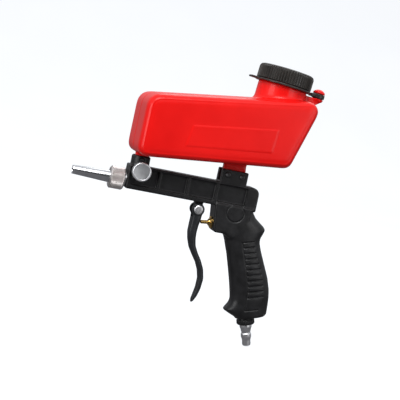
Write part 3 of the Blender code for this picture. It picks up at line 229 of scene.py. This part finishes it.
# %% Give each CAD piece its finish
finish_of = {
    "red_plastic": hopper_red,
    "cap_plastic": cap_black,
    "black_moulding": body_black,
    "trigger_moulding": trigger_black,
    "rubber": black_rubber,
    "satin_aluminium": satin_aluminium,
    "polished_steel": bright_steel,
    "turned_steel": turned_steel,
    "plated_steel": plated_steel,
    "brass": machined_brass,
}
slot_of = {entry["node"]: entry["material_slot"] for entry in record["subparts"]}
body_of = {node: body for body, listed in record["behaviour"]["bodies"].items() for node in listed}
for name, piece in nodes.items():
    if not piece.material_slots:
        piece.data.materials.append(finish_of[slot_of[name]])
    for material_slot in piece.material_slots:
        material_slot.material = finish_of[slot_of[name]]
print("dressed", len(nodes), "pieces")


# %% [markdown]
# ## Smooth moulded pieces
# The CAD body, trigger and hopper are exact but faceted. A moulded piece has a small round in
# every corner. A voxel remesh joins the surface into one even skin, and relaxing the points
# towards their neighbours rounds the corners, as a mould does.

# %% Helpers for a moulded skin
def add_piece(name, mesh, material, body, *stands_for):
    """Links a mesh, gives it its finish, and makes it ride on its body in place of CAD nodes."""
    piece = bpy.data.objects.new(name, mesh)
    bpy.context.scene.collection.objects.link(piece)
    mesh.materials.clear()
    mesh.materials.append(material)
    mesh.shade_smooth()
    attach(piece, body)
    if stands_for:
        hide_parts(*stands_for)
    return piece


def skin_of(node, voxel):
    """An even skin over a CAD node, as a new mesh."""
    shape = bmesh.new()
    shape.from_mesh(nodes[node].data)
    bmesh.ops.remove_doubles(shape, verts=shape.verts, dist=0.000001)
    mesh = bpy.data.meshes.new(node + "_skin")
    shape.to_mesh(mesh)
    shape.free()
    holder = bpy.data.objects.new(node + "_holder", mesh)
    bpy.context.scene.collection.objects.link(holder)
    remesh = holder.modifiers.new("skin", "REMESH")
    remesh.mode = "VOXEL"
    remesh.voxel_size = voxel
    graph = bpy.context.evaluated_depsgraph_get()
    skin = bpy.data.meshes.new_from_object(holder.evaluated_get(graph))
    bpy.data.objects.remove(holder)
    return skin


def points_of(mesh):
    """A mesh's points, one row each."""
    spots = np.empty(len(mesh.vertices) * 3)
    mesh.vertices.foreach_get("co", spots)
    return spots.reshape(-1, 3)


def normals_of(mesh):
    """The direction the surface faces at each point, one row each."""
    normals = np.empty(len(mesh.vertices) * 3)
    mesh.vertex_normals.foreach_get("vector", normals)
    return normals.reshape(-1, 3)


def move_points(mesh, spots):
    """Puts a mesh's points at new places."""
    mesh.vertices.foreach_set("co", spots.ravel())
    mesh.update()


def relax(mesh, rounds, weight=1.0):
    """Moves each point towards the middle of its neighbours; weight may differ by point."""
    spots = points_of(mesh)
    count = len(spots)
    ends = np.empty(len(mesh.edges) * 2, dtype=np.int64)
    mesh.edges.foreach_get("vertices", ends)
    ends = ends.reshape(-1, 2)
    here = np.concatenate([ends[:, 0], ends[:, 1]])
    there = np.concatenate([ends[:, 1], ends[:, 0]])
    near = np.maximum(np.bincount(here, minlength=count), 1)
    pull = 0.5 * np.broadcast_to(weight, (count,))[:, None]
    for _ in range(rounds):
        total = np.stack(
            [np.bincount(here, weights=spots[there, k], minlength=count) for k in range(3)], axis=1
        )
        spots = spots + pull * (total / near[:, None] - spots)
    move_points(mesh, spots)
    return spots


def step(value, low, high):
    """A soft switch from 0 at low to 1 at high."""
    share = np.clip((value - low) / (high - low), 0.0, 1.0)
    return share * share * (3.0 - 2.0 * share)


# %% [markdown]
# ## The body
# The beam, the valve block and the grip are one moulding. The ribs stay crisp, so they are relaxed
# only a little. The grip and the corner where it leaves the valve block are rounder, so they are
# relaxed much more. That washes out the fine grooves, so these are pressed in afterwards, along
# each point's own normal: a panel line, short finger grooves behind it, and a ring round the badge.

# %% Skin the body
body_skin = skin_of("gun_body", 0.0005)
spots = relax(body_skin, 3)
down = (spots - np.array(grip_top)) @ np.array(grip_down)
rear = (spots - np.array(grip_top)) @ np.array(grip_rear)
below_beam = step(barrel_mouth.z - spots[:, 2], 0.0115, 0.0150)
behind_valve = step(spots[:, 0], barrel_mouth.x + 0.1010, barrel_mouth.x + 0.1080)
rounder = step(down, -0.016, -0.004) * (1.0 - step(down, 0.082, 0.087)) * below_beam * behind_valve
spots = relax(body_skin, 34, rounder)
print("body points:", len(spots))

# %% [markdown]
# Each pressed line is a small trough. Its depth at a point depends only on how far the point is
# from the line, so the same few lines of code make straight, curved and round grooves.

# %% Press in the grooves
GROOVE_FIRST, GROOVE_PITCH, GROOVES = 0.0154, 0.0057, 10
GROOVE_DEPTH, BADGE_DEPTH = 0.0011, 0.0007
PANEL_FRONT = {0.0095: -0.0025, 0.019: -0.0015, 0.0365: 0.0003, 0.0585: 0.0008, 0.0795: -0.0033}
PANEL_REAR = {
    0.0105: 0.0095, 0.027: 0.0115, 0.039: 0.0150, 0.0515: 0.0165, 0.067: 0.0163, 0.081: 0.0095,
}
PANEL_TOP, PANEL_BOTTOM = 0.0098, 0.0800


def trough(away, half_width=0.0009):
    """1 on the line, falling softly to 0 at half_width beside it."""
    return 1.0 - step(np.abs(away), half_width * 0.25, half_width)


down = (spots - np.array(grip_top)) @ np.array(grip_down)
rear = (spots - np.array(grip_top)) @ np.array(grip_rear)
panel_front = np.interp(down, tuple(PANEL_FRONT), tuple(PANEL_FRONT.values()))
panel_rear = np.interp(down, tuple(PANEL_REAR), tuple(PANEL_REAR.values()))
between = step(rear, panel_front, panel_front + 0.0005)
between = between * (1.0 - step(rear, panel_rear, panel_rear + 0.0012))
grooves = np.zeros(len(spots))
for i in range(GROOVES):
    grooves = np.maximum(grooves, trough(down - GROOVE_FIRST - GROOVE_PITCH * i, 0.0011))
for edge in (PANEL_TOP, PANEL_BOTTOM):
    grooves = np.maximum(grooves, 0.8 * trough(down - edge))
grooves = grooves * between
along = step(down, PANEL_TOP - 0.0006, PANEL_TOP) * (1.0 - step(down, PANEL_BOTTOM, PANEL_BOTTOM + 0.0006))
grooves = np.maximum(grooves, 0.9 * trough(rear - panel_front) * along)
flank = step(np.abs(spots[:, 1]), 0.0060, 0.0080)
BADGE_BACK, BADGE_DOWN, BADGE_RADIUS = 0.1144, 0.0120, 0.0090
badge_x = spots[:, 0] - barrel_mouth.x - BADGE_BACK
badge_z = barrel_mouth.z - spots[:, 2] - BADGE_DOWN
badge = trough(np.hypot(badge_x, badge_z) - BADGE_RADIUS, 0.0010) * step(np.abs(spots[:, 1]), 0.0100, 0.0110)
spots -= normals_of(body_skin) * (GROOVE_DEPTH * grooves * flank + BADGE_DEPTH * badge)[:, None]
move_points(body_skin, spots)
add_piece("body_moulding", body_skin, body_black, "root", "gun_body")
print("points in grooves:", int((grooves * flank > 0.5).sum()))
print("points in the badge ring:", int((badge > 0.5).sum()))

# %% [markdown]
# ## The trigger
# The lever is a smooth moulding. It gets a finer skin than the body, because it is slimmer, and it
# is relaxed everywhere but around its eye, where the pin goes through.

# %% Skin the trigger
trigger_skin = skin_of("trigger", 0.0004)
relax(trigger_skin, 3)
spots = points_of(trigger_skin)
below_pin = trigger_pivot.z - spots[:, 2]
relax(trigger_skin, 30, step(below_pin, 0.009, 0.016))
add_piece("trigger_lever", trigger_skin, trigger_black, "trigger", "trigger")
print("trigger points:", len(trigger_skin.vertices))

# %% [markdown]
# ## The hopper
# The hopper is blow-moulded, so all its corners are round. A shallow raised panel runs along
# each flank, and a low ridge, where the mould's two halves met, runs round the middle.
# The main tub is relaxed a lot. The neck, foot and peg, which are small, are relaxed only a little.

# %% Skin the hopper
hopper_skin = skin_of("hopper", 0.0008)
relax(hopper_skin, 3)
spots = points_of(hopper_skin)
neck_height = (spots - np.array(neck_foot)) @ np.array(neck_up)
above_barrel = spots[:, 2] - barrel_mouth.z
tub = (1.0 - step(neck_height, -0.004, 0.001)) * step(above_barrel, 0.031, 0.036)
around_neck = np.linalg.norm(
    (spots - np.array(neck_foot)) - neck_height[:, None] * np.array(neck_up), axis=1
)
neck_root = step(neck_height, -0.010, -0.004) * (1.0 - step(neck_height, 0.004, 0.009))
neck_root = neck_root * step(around_neck, 0.0225, 0.0240)
neck_root = neck_root * (1.0 - step(around_neck, 0.0330, 0.0350))
spots = relax(hopper_skin, 44, np.maximum(tub * 0.75, neck_root))
# The panel's corners, behind and above the barrel's mouth, seen from the side.
PANEL_RELIEF, RIDGE_HEIGHT = 0.00045, 0.0003
PANEL = ((0.0483, 0.0661), (0.0447, 0.0454), (0.1302, 0.0552), (0.1322, 0.0780))
back = spots[:, 0] - barrel_mouth.x
up = spots[:, 2] - barrel_mouth.z
inside = np.full(len(spots), 1.0)
for i, (start_back, start_up) in enumerate(PANEL):
    end_back, end_up = PANEL[(i + 1) % 4]
    run = math.hypot(end_back - start_back, end_up - start_up)
    off = ((end_back - start_back) * (up - start_up) - (end_up - start_up) * (back - start_back)) / run
    inside = np.minimum(inside, off)
outer_flank = step(np.abs(spots[:, 1]), 0.0358, 0.0364)
raised = step(inside, -0.0006, 0.0006) * outer_flank
spots[:, 1] -= np.sign(spots[:, 1]) * PANEL_RELIEF * (1.0 - raised) * outer_flank
ridge = RIDGE_HEIGHT * (1.0 - step(np.abs(spots[:, 1]), 0.0004, 0.0014)) * tub
spots += normals_of(hopper_skin) * ridge[:, None]
move_points(hopper_skin, spots)
add_piece("hopper_tub", hopper_skin, hopper_red, "root", "hopper")
print("hopper points:", len(hopper_skin.vertices), "on the panel:", int((raised > 0.5).sum()))

# %% [markdown]
# ## Turned pieces
# The nut, nozzle, knob, cap, ring nut and plug were all made round an axis. Each is a profile of
# (height along the axis, radius) rows, spun with many sides. A row may add ribs: the radius then
# dips a little between them, which makes knurling. Every corner of a profile is first cut into a
# small arc, because a real edge is never perfectly sharp and its arc catches the light.

# %% Helpers for turned pieces
def reach_of(node, point, axis):
    """Lowest and highest height of a CAD piece along an axis, and its largest radius."""
    spots = points_of(nodes[node].data) - np.array(point)
    heights = spots @ np.array(axis)
    radii = np.linalg.norm(spots - heights[:, None] * np.array(axis), axis=1)
    return heights.min(), heights.max(), radii.max()


def with_round_corners(rows, edge, closed):
    """The same profile with each corner replaced by a small arc of three points."""
    count = len(rows)
    smooth = []
    for i, row in enumerate(rows):
        ridge = row[2] if len(row) > 2 else 0.0
        if not closed and i in (0, count - 1):
            smooth.append((row[0], row[1], ridge))
            continue
        here = Vector(row[:2])
        before = Vector(rows[i - 1][:2]) - here
        after = Vector(rows[(i + 1) % count][:2]) - here
        cut = min(edge, before.length * 0.4, after.length * 0.4)
        first = here + before.normalized() * cut
        last = here + after.normalized() * cut
        middle = (first + last) * 0.25 + here * 0.5
        smooth += [(spot.x, spot.y, ridge) for spot in (first, middle, last)]
    return smooth


def spun(name, rows, point, axis, sides, edge=0.0003, closed=True, ribs=0):
    """A turned piece as a mesh: the profile spun about the axis through point."""
    axis = Vector(axis)
    side = axis.orthogonal().normalized()
    other = axis.cross(side)
    shape = bmesh.new()
    rings = []
    for height, radius, ridge in with_round_corners(rows, edge, closed):
        ring = []
        for k in range(sides):
            turn = 2.0 * math.pi * k / sides
            dip = ridge * (0.5 - 0.5 * math.cos(turn * ribs)) ** 0.6 if ribs else 0.0
            out = (side * math.cos(turn) + other * math.sin(turn)) * (radius - dip)
            ring.append(shape.verts.new(Vector(point) + axis * height + out))
        rings.append(ring)
    pairs = list(zip(rings, rings[1:]))
    if closed:
        pairs.append((rings[-1], rings[0]))
    for low_ring, high_ring in pairs:
        for k in range(sides):
            nxt = (k + 1) % sides
            shape.faces.new((low_ring[k], low_ring[nxt], high_ring[nxt], high_ring[k]))
    if not closed:
        shape.faces.new(rings[0])
        shape.faces.new(rings[-1])
    bmesh.ops.recalc_face_normals(shape, faces=shape.faces)
    mesh = bpy.data.meshes.new(name)
    shape.to_mesh(mesh)
    shape.free()
    return mesh


def add_turned(name, node, rows, point, axis, sides=96, **how):
    """A turned piece that stands for a CAD node and rides where it rides."""
    mesh = spun(name, rows, point, axis, sides, **how)
    piece = add_piece(name, mesh, finish_of[slot_of[node]], body_of[node], node)
    mesh.set_sharp_from_angle(angle=math.radians(50.0))
    print(name, "points:", len(mesh.vertices))
    return piece


# %% [markdown]
# ## Nozzle and nut
# The nozzle is a polished taper that fits under a lip in the nut. The nut is satin aluminium with
# fine straight knurling round it, and a bevel at each end that is left smooth and bright.

# %% The nozzle and its nut
along_x = Vector((1.0, 0.0, 0.0))
tip, tail, _ = reach_of("nozzle", barrel_mouth, along_x)
front, nut_back, nut_radius = reach_of("nozzle_nut", barrel_mouth, along_x)
add_turned(
    "taper_nozzle",
    "nozzle",
    [
        (tip, 0.0035), (tip, 0.0043), (front, 0.0061), (-0.0136, 0.0061), (-0.0136, 0.0078),
        (-0.0108, 0.0078), (-0.0108, 0.0046), (tail, 0.0046), (tail, 0.0035),
    ],
    barrel_mouth, along_x, 128, edge=0.00025,
)
add_turned(
    "knurled_nut",
    "nozzle_nut",
    [
        (front, 0.0067), (front, nut_radius - 0.0016), (front + 0.0012, nut_radius),
        (front + 0.0015, nut_radius, 0.00035), (nut_back - 0.0015, nut_radius, 0.00035),
        (nut_back - 0.0012, nut_radius), (nut_back, nut_radius - 0.0010), (nut_back, 0.0074),
        (-0.0105, 0.0074), (-0.0105, 0.0081), (-0.0139, 0.0081), (-0.0139, 0.0064),
        (front + 0.0008, 0.0064),
    ],
    barrel_mouth, along_x, 720, edge=0.00015, ribs=90,
)

# %% [markdown]
# ## The flow knob
# A short hub, a knurled rim, and a turned face with a narrow raised lip round it. Its brushed
# rings stretch reflections across the grooves. The Principled shader's anisotropy does that when
# its tangent runs round the knob's axis.

# %% The flow knob
toward_front = Vector((0.0, -1.0, 0.0))
knob_low, knob_high, knob_radius = reach_of("flow_valve_knob", knob_axis, toward_front)
add_turned(
    "flow_knob",
    "flow_valve_knob",
    [
        (knob_low + 0.0060, 0.0002), (knob_low + 0.0060, 0.0033), (knob_low, 0.0033),
        (knob_low, 0.0058), (0.0135, 0.0058), (0.0135, knob_radius - 0.0008),
        (0.0141, knob_radius, 0.0004), (knob_high - 0.0010, knob_radius, 0.0004),
        (knob_high - 0.0003, knob_radius - 0.0004), (knob_high, knob_radius - 0.0010),
        (knob_high, knob_radius - 0.0016), (knob_high - 0.0004, knob_radius - 0.0020),
        (knob_high - 0.0004, 0.0002),
    ],
    knob_axis, toward_front, 480, edge=0.00012, closed=False, ribs=60,
)
shader = turned_steel.node_tree.nodes["Principled BSDF"]
shader.inputs["Anisotropic"].default_value = 0.65
tangent = turned_steel.node_tree.nodes.new("ShaderNodeTangent")
tangent.direction_type = "RADIAL"
tangent.axis = "Y"
turned_steel.node_tree.links.new(tangent.outputs["Tangent"], shader.inputs["Tangent"])

# %% [markdown]
# ## The cap
# The cap's skirt has fine ribs for the hand and a round top edge.

# %% The cap
cap_low, cap_high, cap_radius = reach_of("hopper_cap", neck_foot, neck_up)
roof = cap_high - 0.0024
add_turned(
    "ribbed_cap",
    "hopper_cap",
    [
        (roof, 0.0003), (roof, 0.0250), (cap_low, 0.0250), (cap_low, cap_radius - 0.0007),
        (cap_low + 0.0008, cap_radius), (cap_low + 0.0011, cap_radius, 0.0014),
        (cap_high - 0.0034, cap_radius, 0.0014), (cap_high - 0.0022, cap_radius - 0.0004, 0.0010),
        (cap_high - 0.0008, cap_radius - 0.0014), (cap_high, cap_radius - 0.0032),
        (cap_high, 0.0215), (cap_high - 0.0005, 0.0208), (cap_high - 0.0005, 0.0003),
    ],
    neck_foot, neck_up, 640, edge=0.0004, closed=False, ribs=64,
)

# %% [markdown]
# ## The ring and the strap
# The ring lies under the cap and the strap joins it to the peg. Both are thin, so they are skinned finely. On
# the real gun one end of the strap stays on the peg and the other rises with the ring; here the strap is left
# fixed where it stands, on no body.

# %% The ring and the strap
ring_skin = skin_of("tether_ring", 0.0004)
relax(ring_skin, 4)
add_piece("cap_ring_plate", ring_skin, cap_black, "cap_ring", "tether_ring")
strap_skin = skin_of("tether_strap", 0.0003)
relax(strap_skin, 6)
strap = bpy.data.objects.new("peg_strap", strap_skin)
bpy.context.scene.collection.objects.link(strap)
strap_skin.materials.clear()
strap_skin.materials.append(cap_black)
strap_skin.shade_smooth()
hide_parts("tether_strap")
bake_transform(strap)
print("strap points:", len(strap_skin.vertices))

# %% [markdown]
# ## The air inlet
# A black ring nut holds a plated plug. The plug's steps are what a quick coupler grips: a
# shoulder, a groove for the locking balls, a collar and a tapered nose with the air hole.

# %% The ring nut and the plug
ring_low, ring_high, ring_radius = reach_of("inlet_ring_nut", grip_top, grip_down)
add_turned(
    "butt_ring_nut",
    "inlet_ring_nut",
    [
        (ring_low, 0.0051), (ring_low, ring_radius - 0.0016), (ring_low + 0.0016, ring_radius - 0.0012),
        (ring_low + 0.0022, ring_radius, 0.0005), (ring_high - 0.0010, ring_radius, 0.0005),
        (ring_high, ring_radius - 0.0010), (ring_high, 0.0051),
    ],
    grip_top, grip_down, 288, edge=0.0003, ribs=24,
)
plug_low, plug_high, _ = reach_of("inlet_plug", grip_top, grip_down)
shoulder = ring_high + 0.0003
add_turned(
    "quick_plug",
    "inlet_plug",
    [
        (plug_low, 0.0028), (plug_low, 0.0048), (shoulder, 0.0048), (shoulder, 0.0062),
        (shoulder + 0.0030, 0.0062), (shoulder + 0.0040, 0.0056), (shoulder + 0.0078, 0.0048),
        (shoulder + 0.0086, 0.0044), (shoulder + 0.0098, 0.0054), (shoulder + 0.0130, 0.0053),
        (shoulder + 0.0165, 0.0043), (plug_high - 0.0012, 0.0044), (plug_high, 0.0038),
        (plug_high, 0.0022), (shoulder, 0.0022), (shoulder - 0.0004, 0.0028),
    ],
    grip_top, grip_down, 96, edge=0.00035,
)

# %% [markdown]
# ## Small screws and the pin
# The bracket screws are blackened and have a hollow in the head for a key, and the
# head's edge catches a thin light rim. The trigger's pin has a plain domed head.

# %% Screws, pin and set screw
black_steel = speckled(
    "black_steel", (0.05, 0.05, 0.052), (0.12, 0.12, 0.125), (0.30, 0.45), 1.0,
    scale=300.0, grain=2000.0,
)
for node in ("bracket_screw_front", "bracket_screw_rear"):
    node_low, node_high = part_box(node)
    centre = (node_low + node_high) / 2.0
    centre.y = 0.0
    head, end, _ = reach_of(node, centre, -toward_front)
    screw = add_turned(
        node.replace("bracket", "cheek"),
        node,
        [
            (head + 0.0008, 0.0002), (head + 0.0008, 0.0011), (head, 0.0013), (head, 0.0020),
            (head + 0.0005, 0.0026), (head + 0.0010, 0.0026), (head + 0.0010, 0.0015),
            (end - 0.0006, 0.0015), (end, 0.0010), (end, 0.0002),
        ],
        centre, -toward_front, 48, edge=0.00012, closed=False,
    )
    screw.data.materials[0] = black_steel
nodes["hopper_set_screw"].material_slots[0].material = black_steel
pin_low, pin_high, pin_radius = reach_of("trigger_pin", trigger_pivot, -toward_front)
add_turned(
    "pivot_pin",
    "trigger_pin",
    [
        (pin_low, 0.0002), (pin_low, pin_radius - 0.0012), (pin_low + 0.0006, pin_radius),
        (pin_low + 0.0014, pin_radius), (pin_low + 0.0014, 0.0020), (0.0073, 0.0020),
        (0.0073, 0.0015), (0.0084, 0.0015), (0.0084, 0.0020), (pin_high, 0.0018), (pin_high, 0.0002),
    ],
    trigger_pivot, -toward_front, 72, edge=0.00025, closed=False,
)

# %% [markdown]
# ## The spring
# The spring shortens when the trigger opens the valve. One end rests in the body and the other on the stem. A
# new coil is wound in the same place and left fixed, on no body.

# %% Wind the spring
spring_low, spring_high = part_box("valve_spring")
centre = (spring_low + spring_high) / 2.0
centre.y = 0.0
spring_front, spring_end, spring_radius = reach_of("valve_spring", centre, valve_in)
WIRE = 0.0006
TURNS, STEPS, WIRE_SIDES = 5, 26, 10
coil_side = valve_in.orthogonal().normalized()
coil_other = valve_in.cross(coil_side)
coil = bmesh.new()
loops = []
for k in range(TURNS * STEPS + 1):
    part = k / (TURNS * STEPS)
    turn = 2.0 * math.pi * TURNS * part
    out = coil_side * math.cos(turn) + coil_other * math.sin(turn)
    height = spring_front + WIRE + (spring_end - spring_front - 2.0 * WIRE) * part
    middle_of_wire = centre + valve_in * height + out * (spring_radius - WIRE)
    loop = []
    for j in range(WIRE_SIDES):
        angle = 2.0 * math.pi * j / WIRE_SIDES
        across = (out * math.cos(angle) + valve_in * math.sin(angle)) * WIRE
        loop.append(coil.verts.new(middle_of_wire + across))
    loops.append(loop)
for first, second in zip(loops, loops[1:]):
    for j in range(WIRE_SIDES):
        nxt = (j + 1) % WIRE_SIDES
        coil.faces.new((first[j], first[nxt], second[nxt], second[j]))
coil.faces.new(loops[0])
coil.faces.new(loops[-1])
bmesh.ops.recalc_face_normals(coil, faces=coil.faces)
coil_mesh = bpy.data.meshes.new("wound_spring")
coil.to_mesh(coil_mesh)
coil.free()
coil_mesh.materials.append(plated_steel)
coil_mesh.shade_smooth()
spring = bpy.data.objects.new("wound_spring", coil_mesh)
bpy.context.scene.collection.objects.link(spring)
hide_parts("valve_spring")
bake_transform(spring)
print("spring points:", len(coil_mesh.vertices))

# %% [markdown]
# ## The stage
# A pale sweep stands under and behind the gun. It is lit paper, so it glows a little, and it is
# left out of reflections and bounced light. Bright metal shows whatever is round it, so a dark card stands in
# front, out of the camera's sight, to give the metal and the gloss something dark to reflect.

# %% Sweep and card
floor_height = cad_low.z - 0.0005
sweep = bmesh.new()
profile = [(-6.0, floor_height), (2.0, floor_height)]
profile += [
    (2.0 + 1.5 * math.sin(math.radians(a)), floor_height + 1.5 - 1.5 * math.cos(math.radians(a)))
    for a in range(6, 91, 6)
]
profile.append((3.5, 6.0))
left = [sweep.verts.new((-8.0, y, z)) for y, z in profile]
right = [sweep.verts.new((8.0, y, z)) for y, z in profile]
for i in range(len(profile) - 1):
    sweep.faces.new((left[i], right[i], right[i + 1], left[i + 1]))
sweep_mesh = bpy.data.meshes.new("sweep")
sweep.to_mesh(sweep_mesh)
sweep.free()
sweep_mesh.shade_smooth()
paper = speckled("paper", (0.30, 0.305, 0.31), (0.33, 0.335, 0.34), (0.85, 0.95), scale=3.0, grain=60.0)
paper_shader = paper.node_tree.nodes["Principled BSDF"]
paper_shader.inputs["Specular IOR Level"].default_value = 0.1
paper_shader.inputs["Emission Color"].default_value = (0.95, 0.97, 1.0, 1.0)
paper_shader.inputs["Emission Strength"].default_value = 0.80
sweep_mesh.materials.append(paper)
stage = bpy.data.objects.new("sweep", sweep_mesh)
bpy.context.scene.collection.objects.link(stage)
stage.visible_diffuse = False
stage.visible_glossy = False
card_mesh = bpy.data.meshes.new("dark_card")
card_mesh.from_pydata(
    [(-1.8, -1.5, floor_height), (2.2, -1.5, floor_height), (2.2, -1.5, 0.75), (-1.8, -1.5, 0.75)],
    [],
    [(0, 1, 2, 3)],
)
dark_felt = speckled("dark_felt", (0.015, 0.015, 0.016), (0.03, 0.03, 0.03), (0.9, 1.0))
card_mesh.materials.append(dark_felt)
card = bpy.data.objects.new("dark_card", card_mesh)
card.visible_camera = False
bpy.context.scene.collection.objects.link(card)
print("stage: a sweep and a card")

# %% [markdown]
# ## Light
# Four soft lights: the key hangs above the front, the fill stands low on the butt's side, the rim
# brightens the back, and a small one low in front of the nozzle lights the hopper's nose. The sky
# is dark below and pale above, so round pieces shade from top to bottom.

# %% Lights and sky
def soft_light(name, place, aim, size, power):
    """A square soft light that faces the gun."""
    lamp = bpy.data.lights.new(name, "AREA")
    lamp.size = size
    lamp.energy = power
    holder = bpy.data.objects.new(name, lamp)
    holder.location = place
    holder.rotation_euler = (Vector(aim) - Vector(place)).to_track_quat("-Z", "Y").to_euler()
    bpy.context.scene.collection.objects.link(holder)


middle = (cad_low + cad_high) / 2.0
soft_light("key", (-0.45, -1.0, 1.2), middle, 0.8, 14.0)
soft_light("fill", (0.8, -1.2, 0.3), middle, 0.7, 3.5)
soft_light("rim", (0.3, 0.9, 1.1), middle, 0.9, 4.0)
soft_light("low_front", (-0.9, -0.5, 0.15), middle, 0.5, 3.0)
world = bpy.data.worlds.new("studio")
world.use_nodes = True
sky = world.node_tree
direction = sky.nodes.new("ShaderNodeTexCoord")
split = sky.nodes.new("ShaderNodeSeparateXYZ")
bands = sky.nodes.new("ShaderNodeValToRGB")
bands.color_ramp.elements[0].position = 0.44
bands.color_ramp.elements[0].color = (0.20, 0.20, 0.21, 1.0)
bands.color_ramp.elements[1].position = 0.80
bands.color_ramp.elements[1].color = (0.95, 0.97, 1.0, 1.0)
height = sky.nodes.new("ShaderNodeMapRange")
height.inputs["From Min"].default_value = -1.0
sky.links.new(direction.outputs["Generated"], split.inputs["Vector"])
sky.links.new(split.outputs["Z"], height.inputs["Value"])
sky.links.new(height.outputs["Result"], bands.inputs["Fac"])
sky.links.new(bands.outputs["Color"], sky.nodes["Background"].inputs["Color"])
sky.nodes["Background"].inputs["Strength"].default_value = 0.8
bpy.context.scene.world = world
bpy.context.scene.view_settings.view_transform = "Standard"
print("lights: key, fill, rim and low front")

# %% [markdown]
# ## Camera
# The camera looks at the gun from slightly in front and above, through a long lens. It is rolled
# 12 degrees, so the barrel points a little up and the grip leans.

# %% Camera
AZIMUTH, ELEVATION, ROLL = math.radians(-14.0), math.radians(5.0), math.radians(12.0)
DISTANCE = 1.1
look_at = Vector((-0.0655, 0.0, 0.0656))
away = Vector((
    math.sin(AZIMUTH) * math.cos(ELEVATION),
    -math.cos(AZIMUTH) * math.cos(ELEVATION),
    math.sin(ELEVATION),
))
camera = bpy.data.objects.new("camera", bpy.data.cameras.new("camera"))
camera.data.sensor_width = 36.0
camera.data.lens = 99.0
camera.location = look_at + away * DISTANCE
camera.rotation_mode = "QUATERNION"
camera.rotation_quaternion = Quaternion(away, ROLL) @ (-away).to_track_quat("-Z", "Y")
bpy.context.scene.collection.objects.link(camera)
bpy.context.scene.camera = camera
print("camera at:", camera.location)
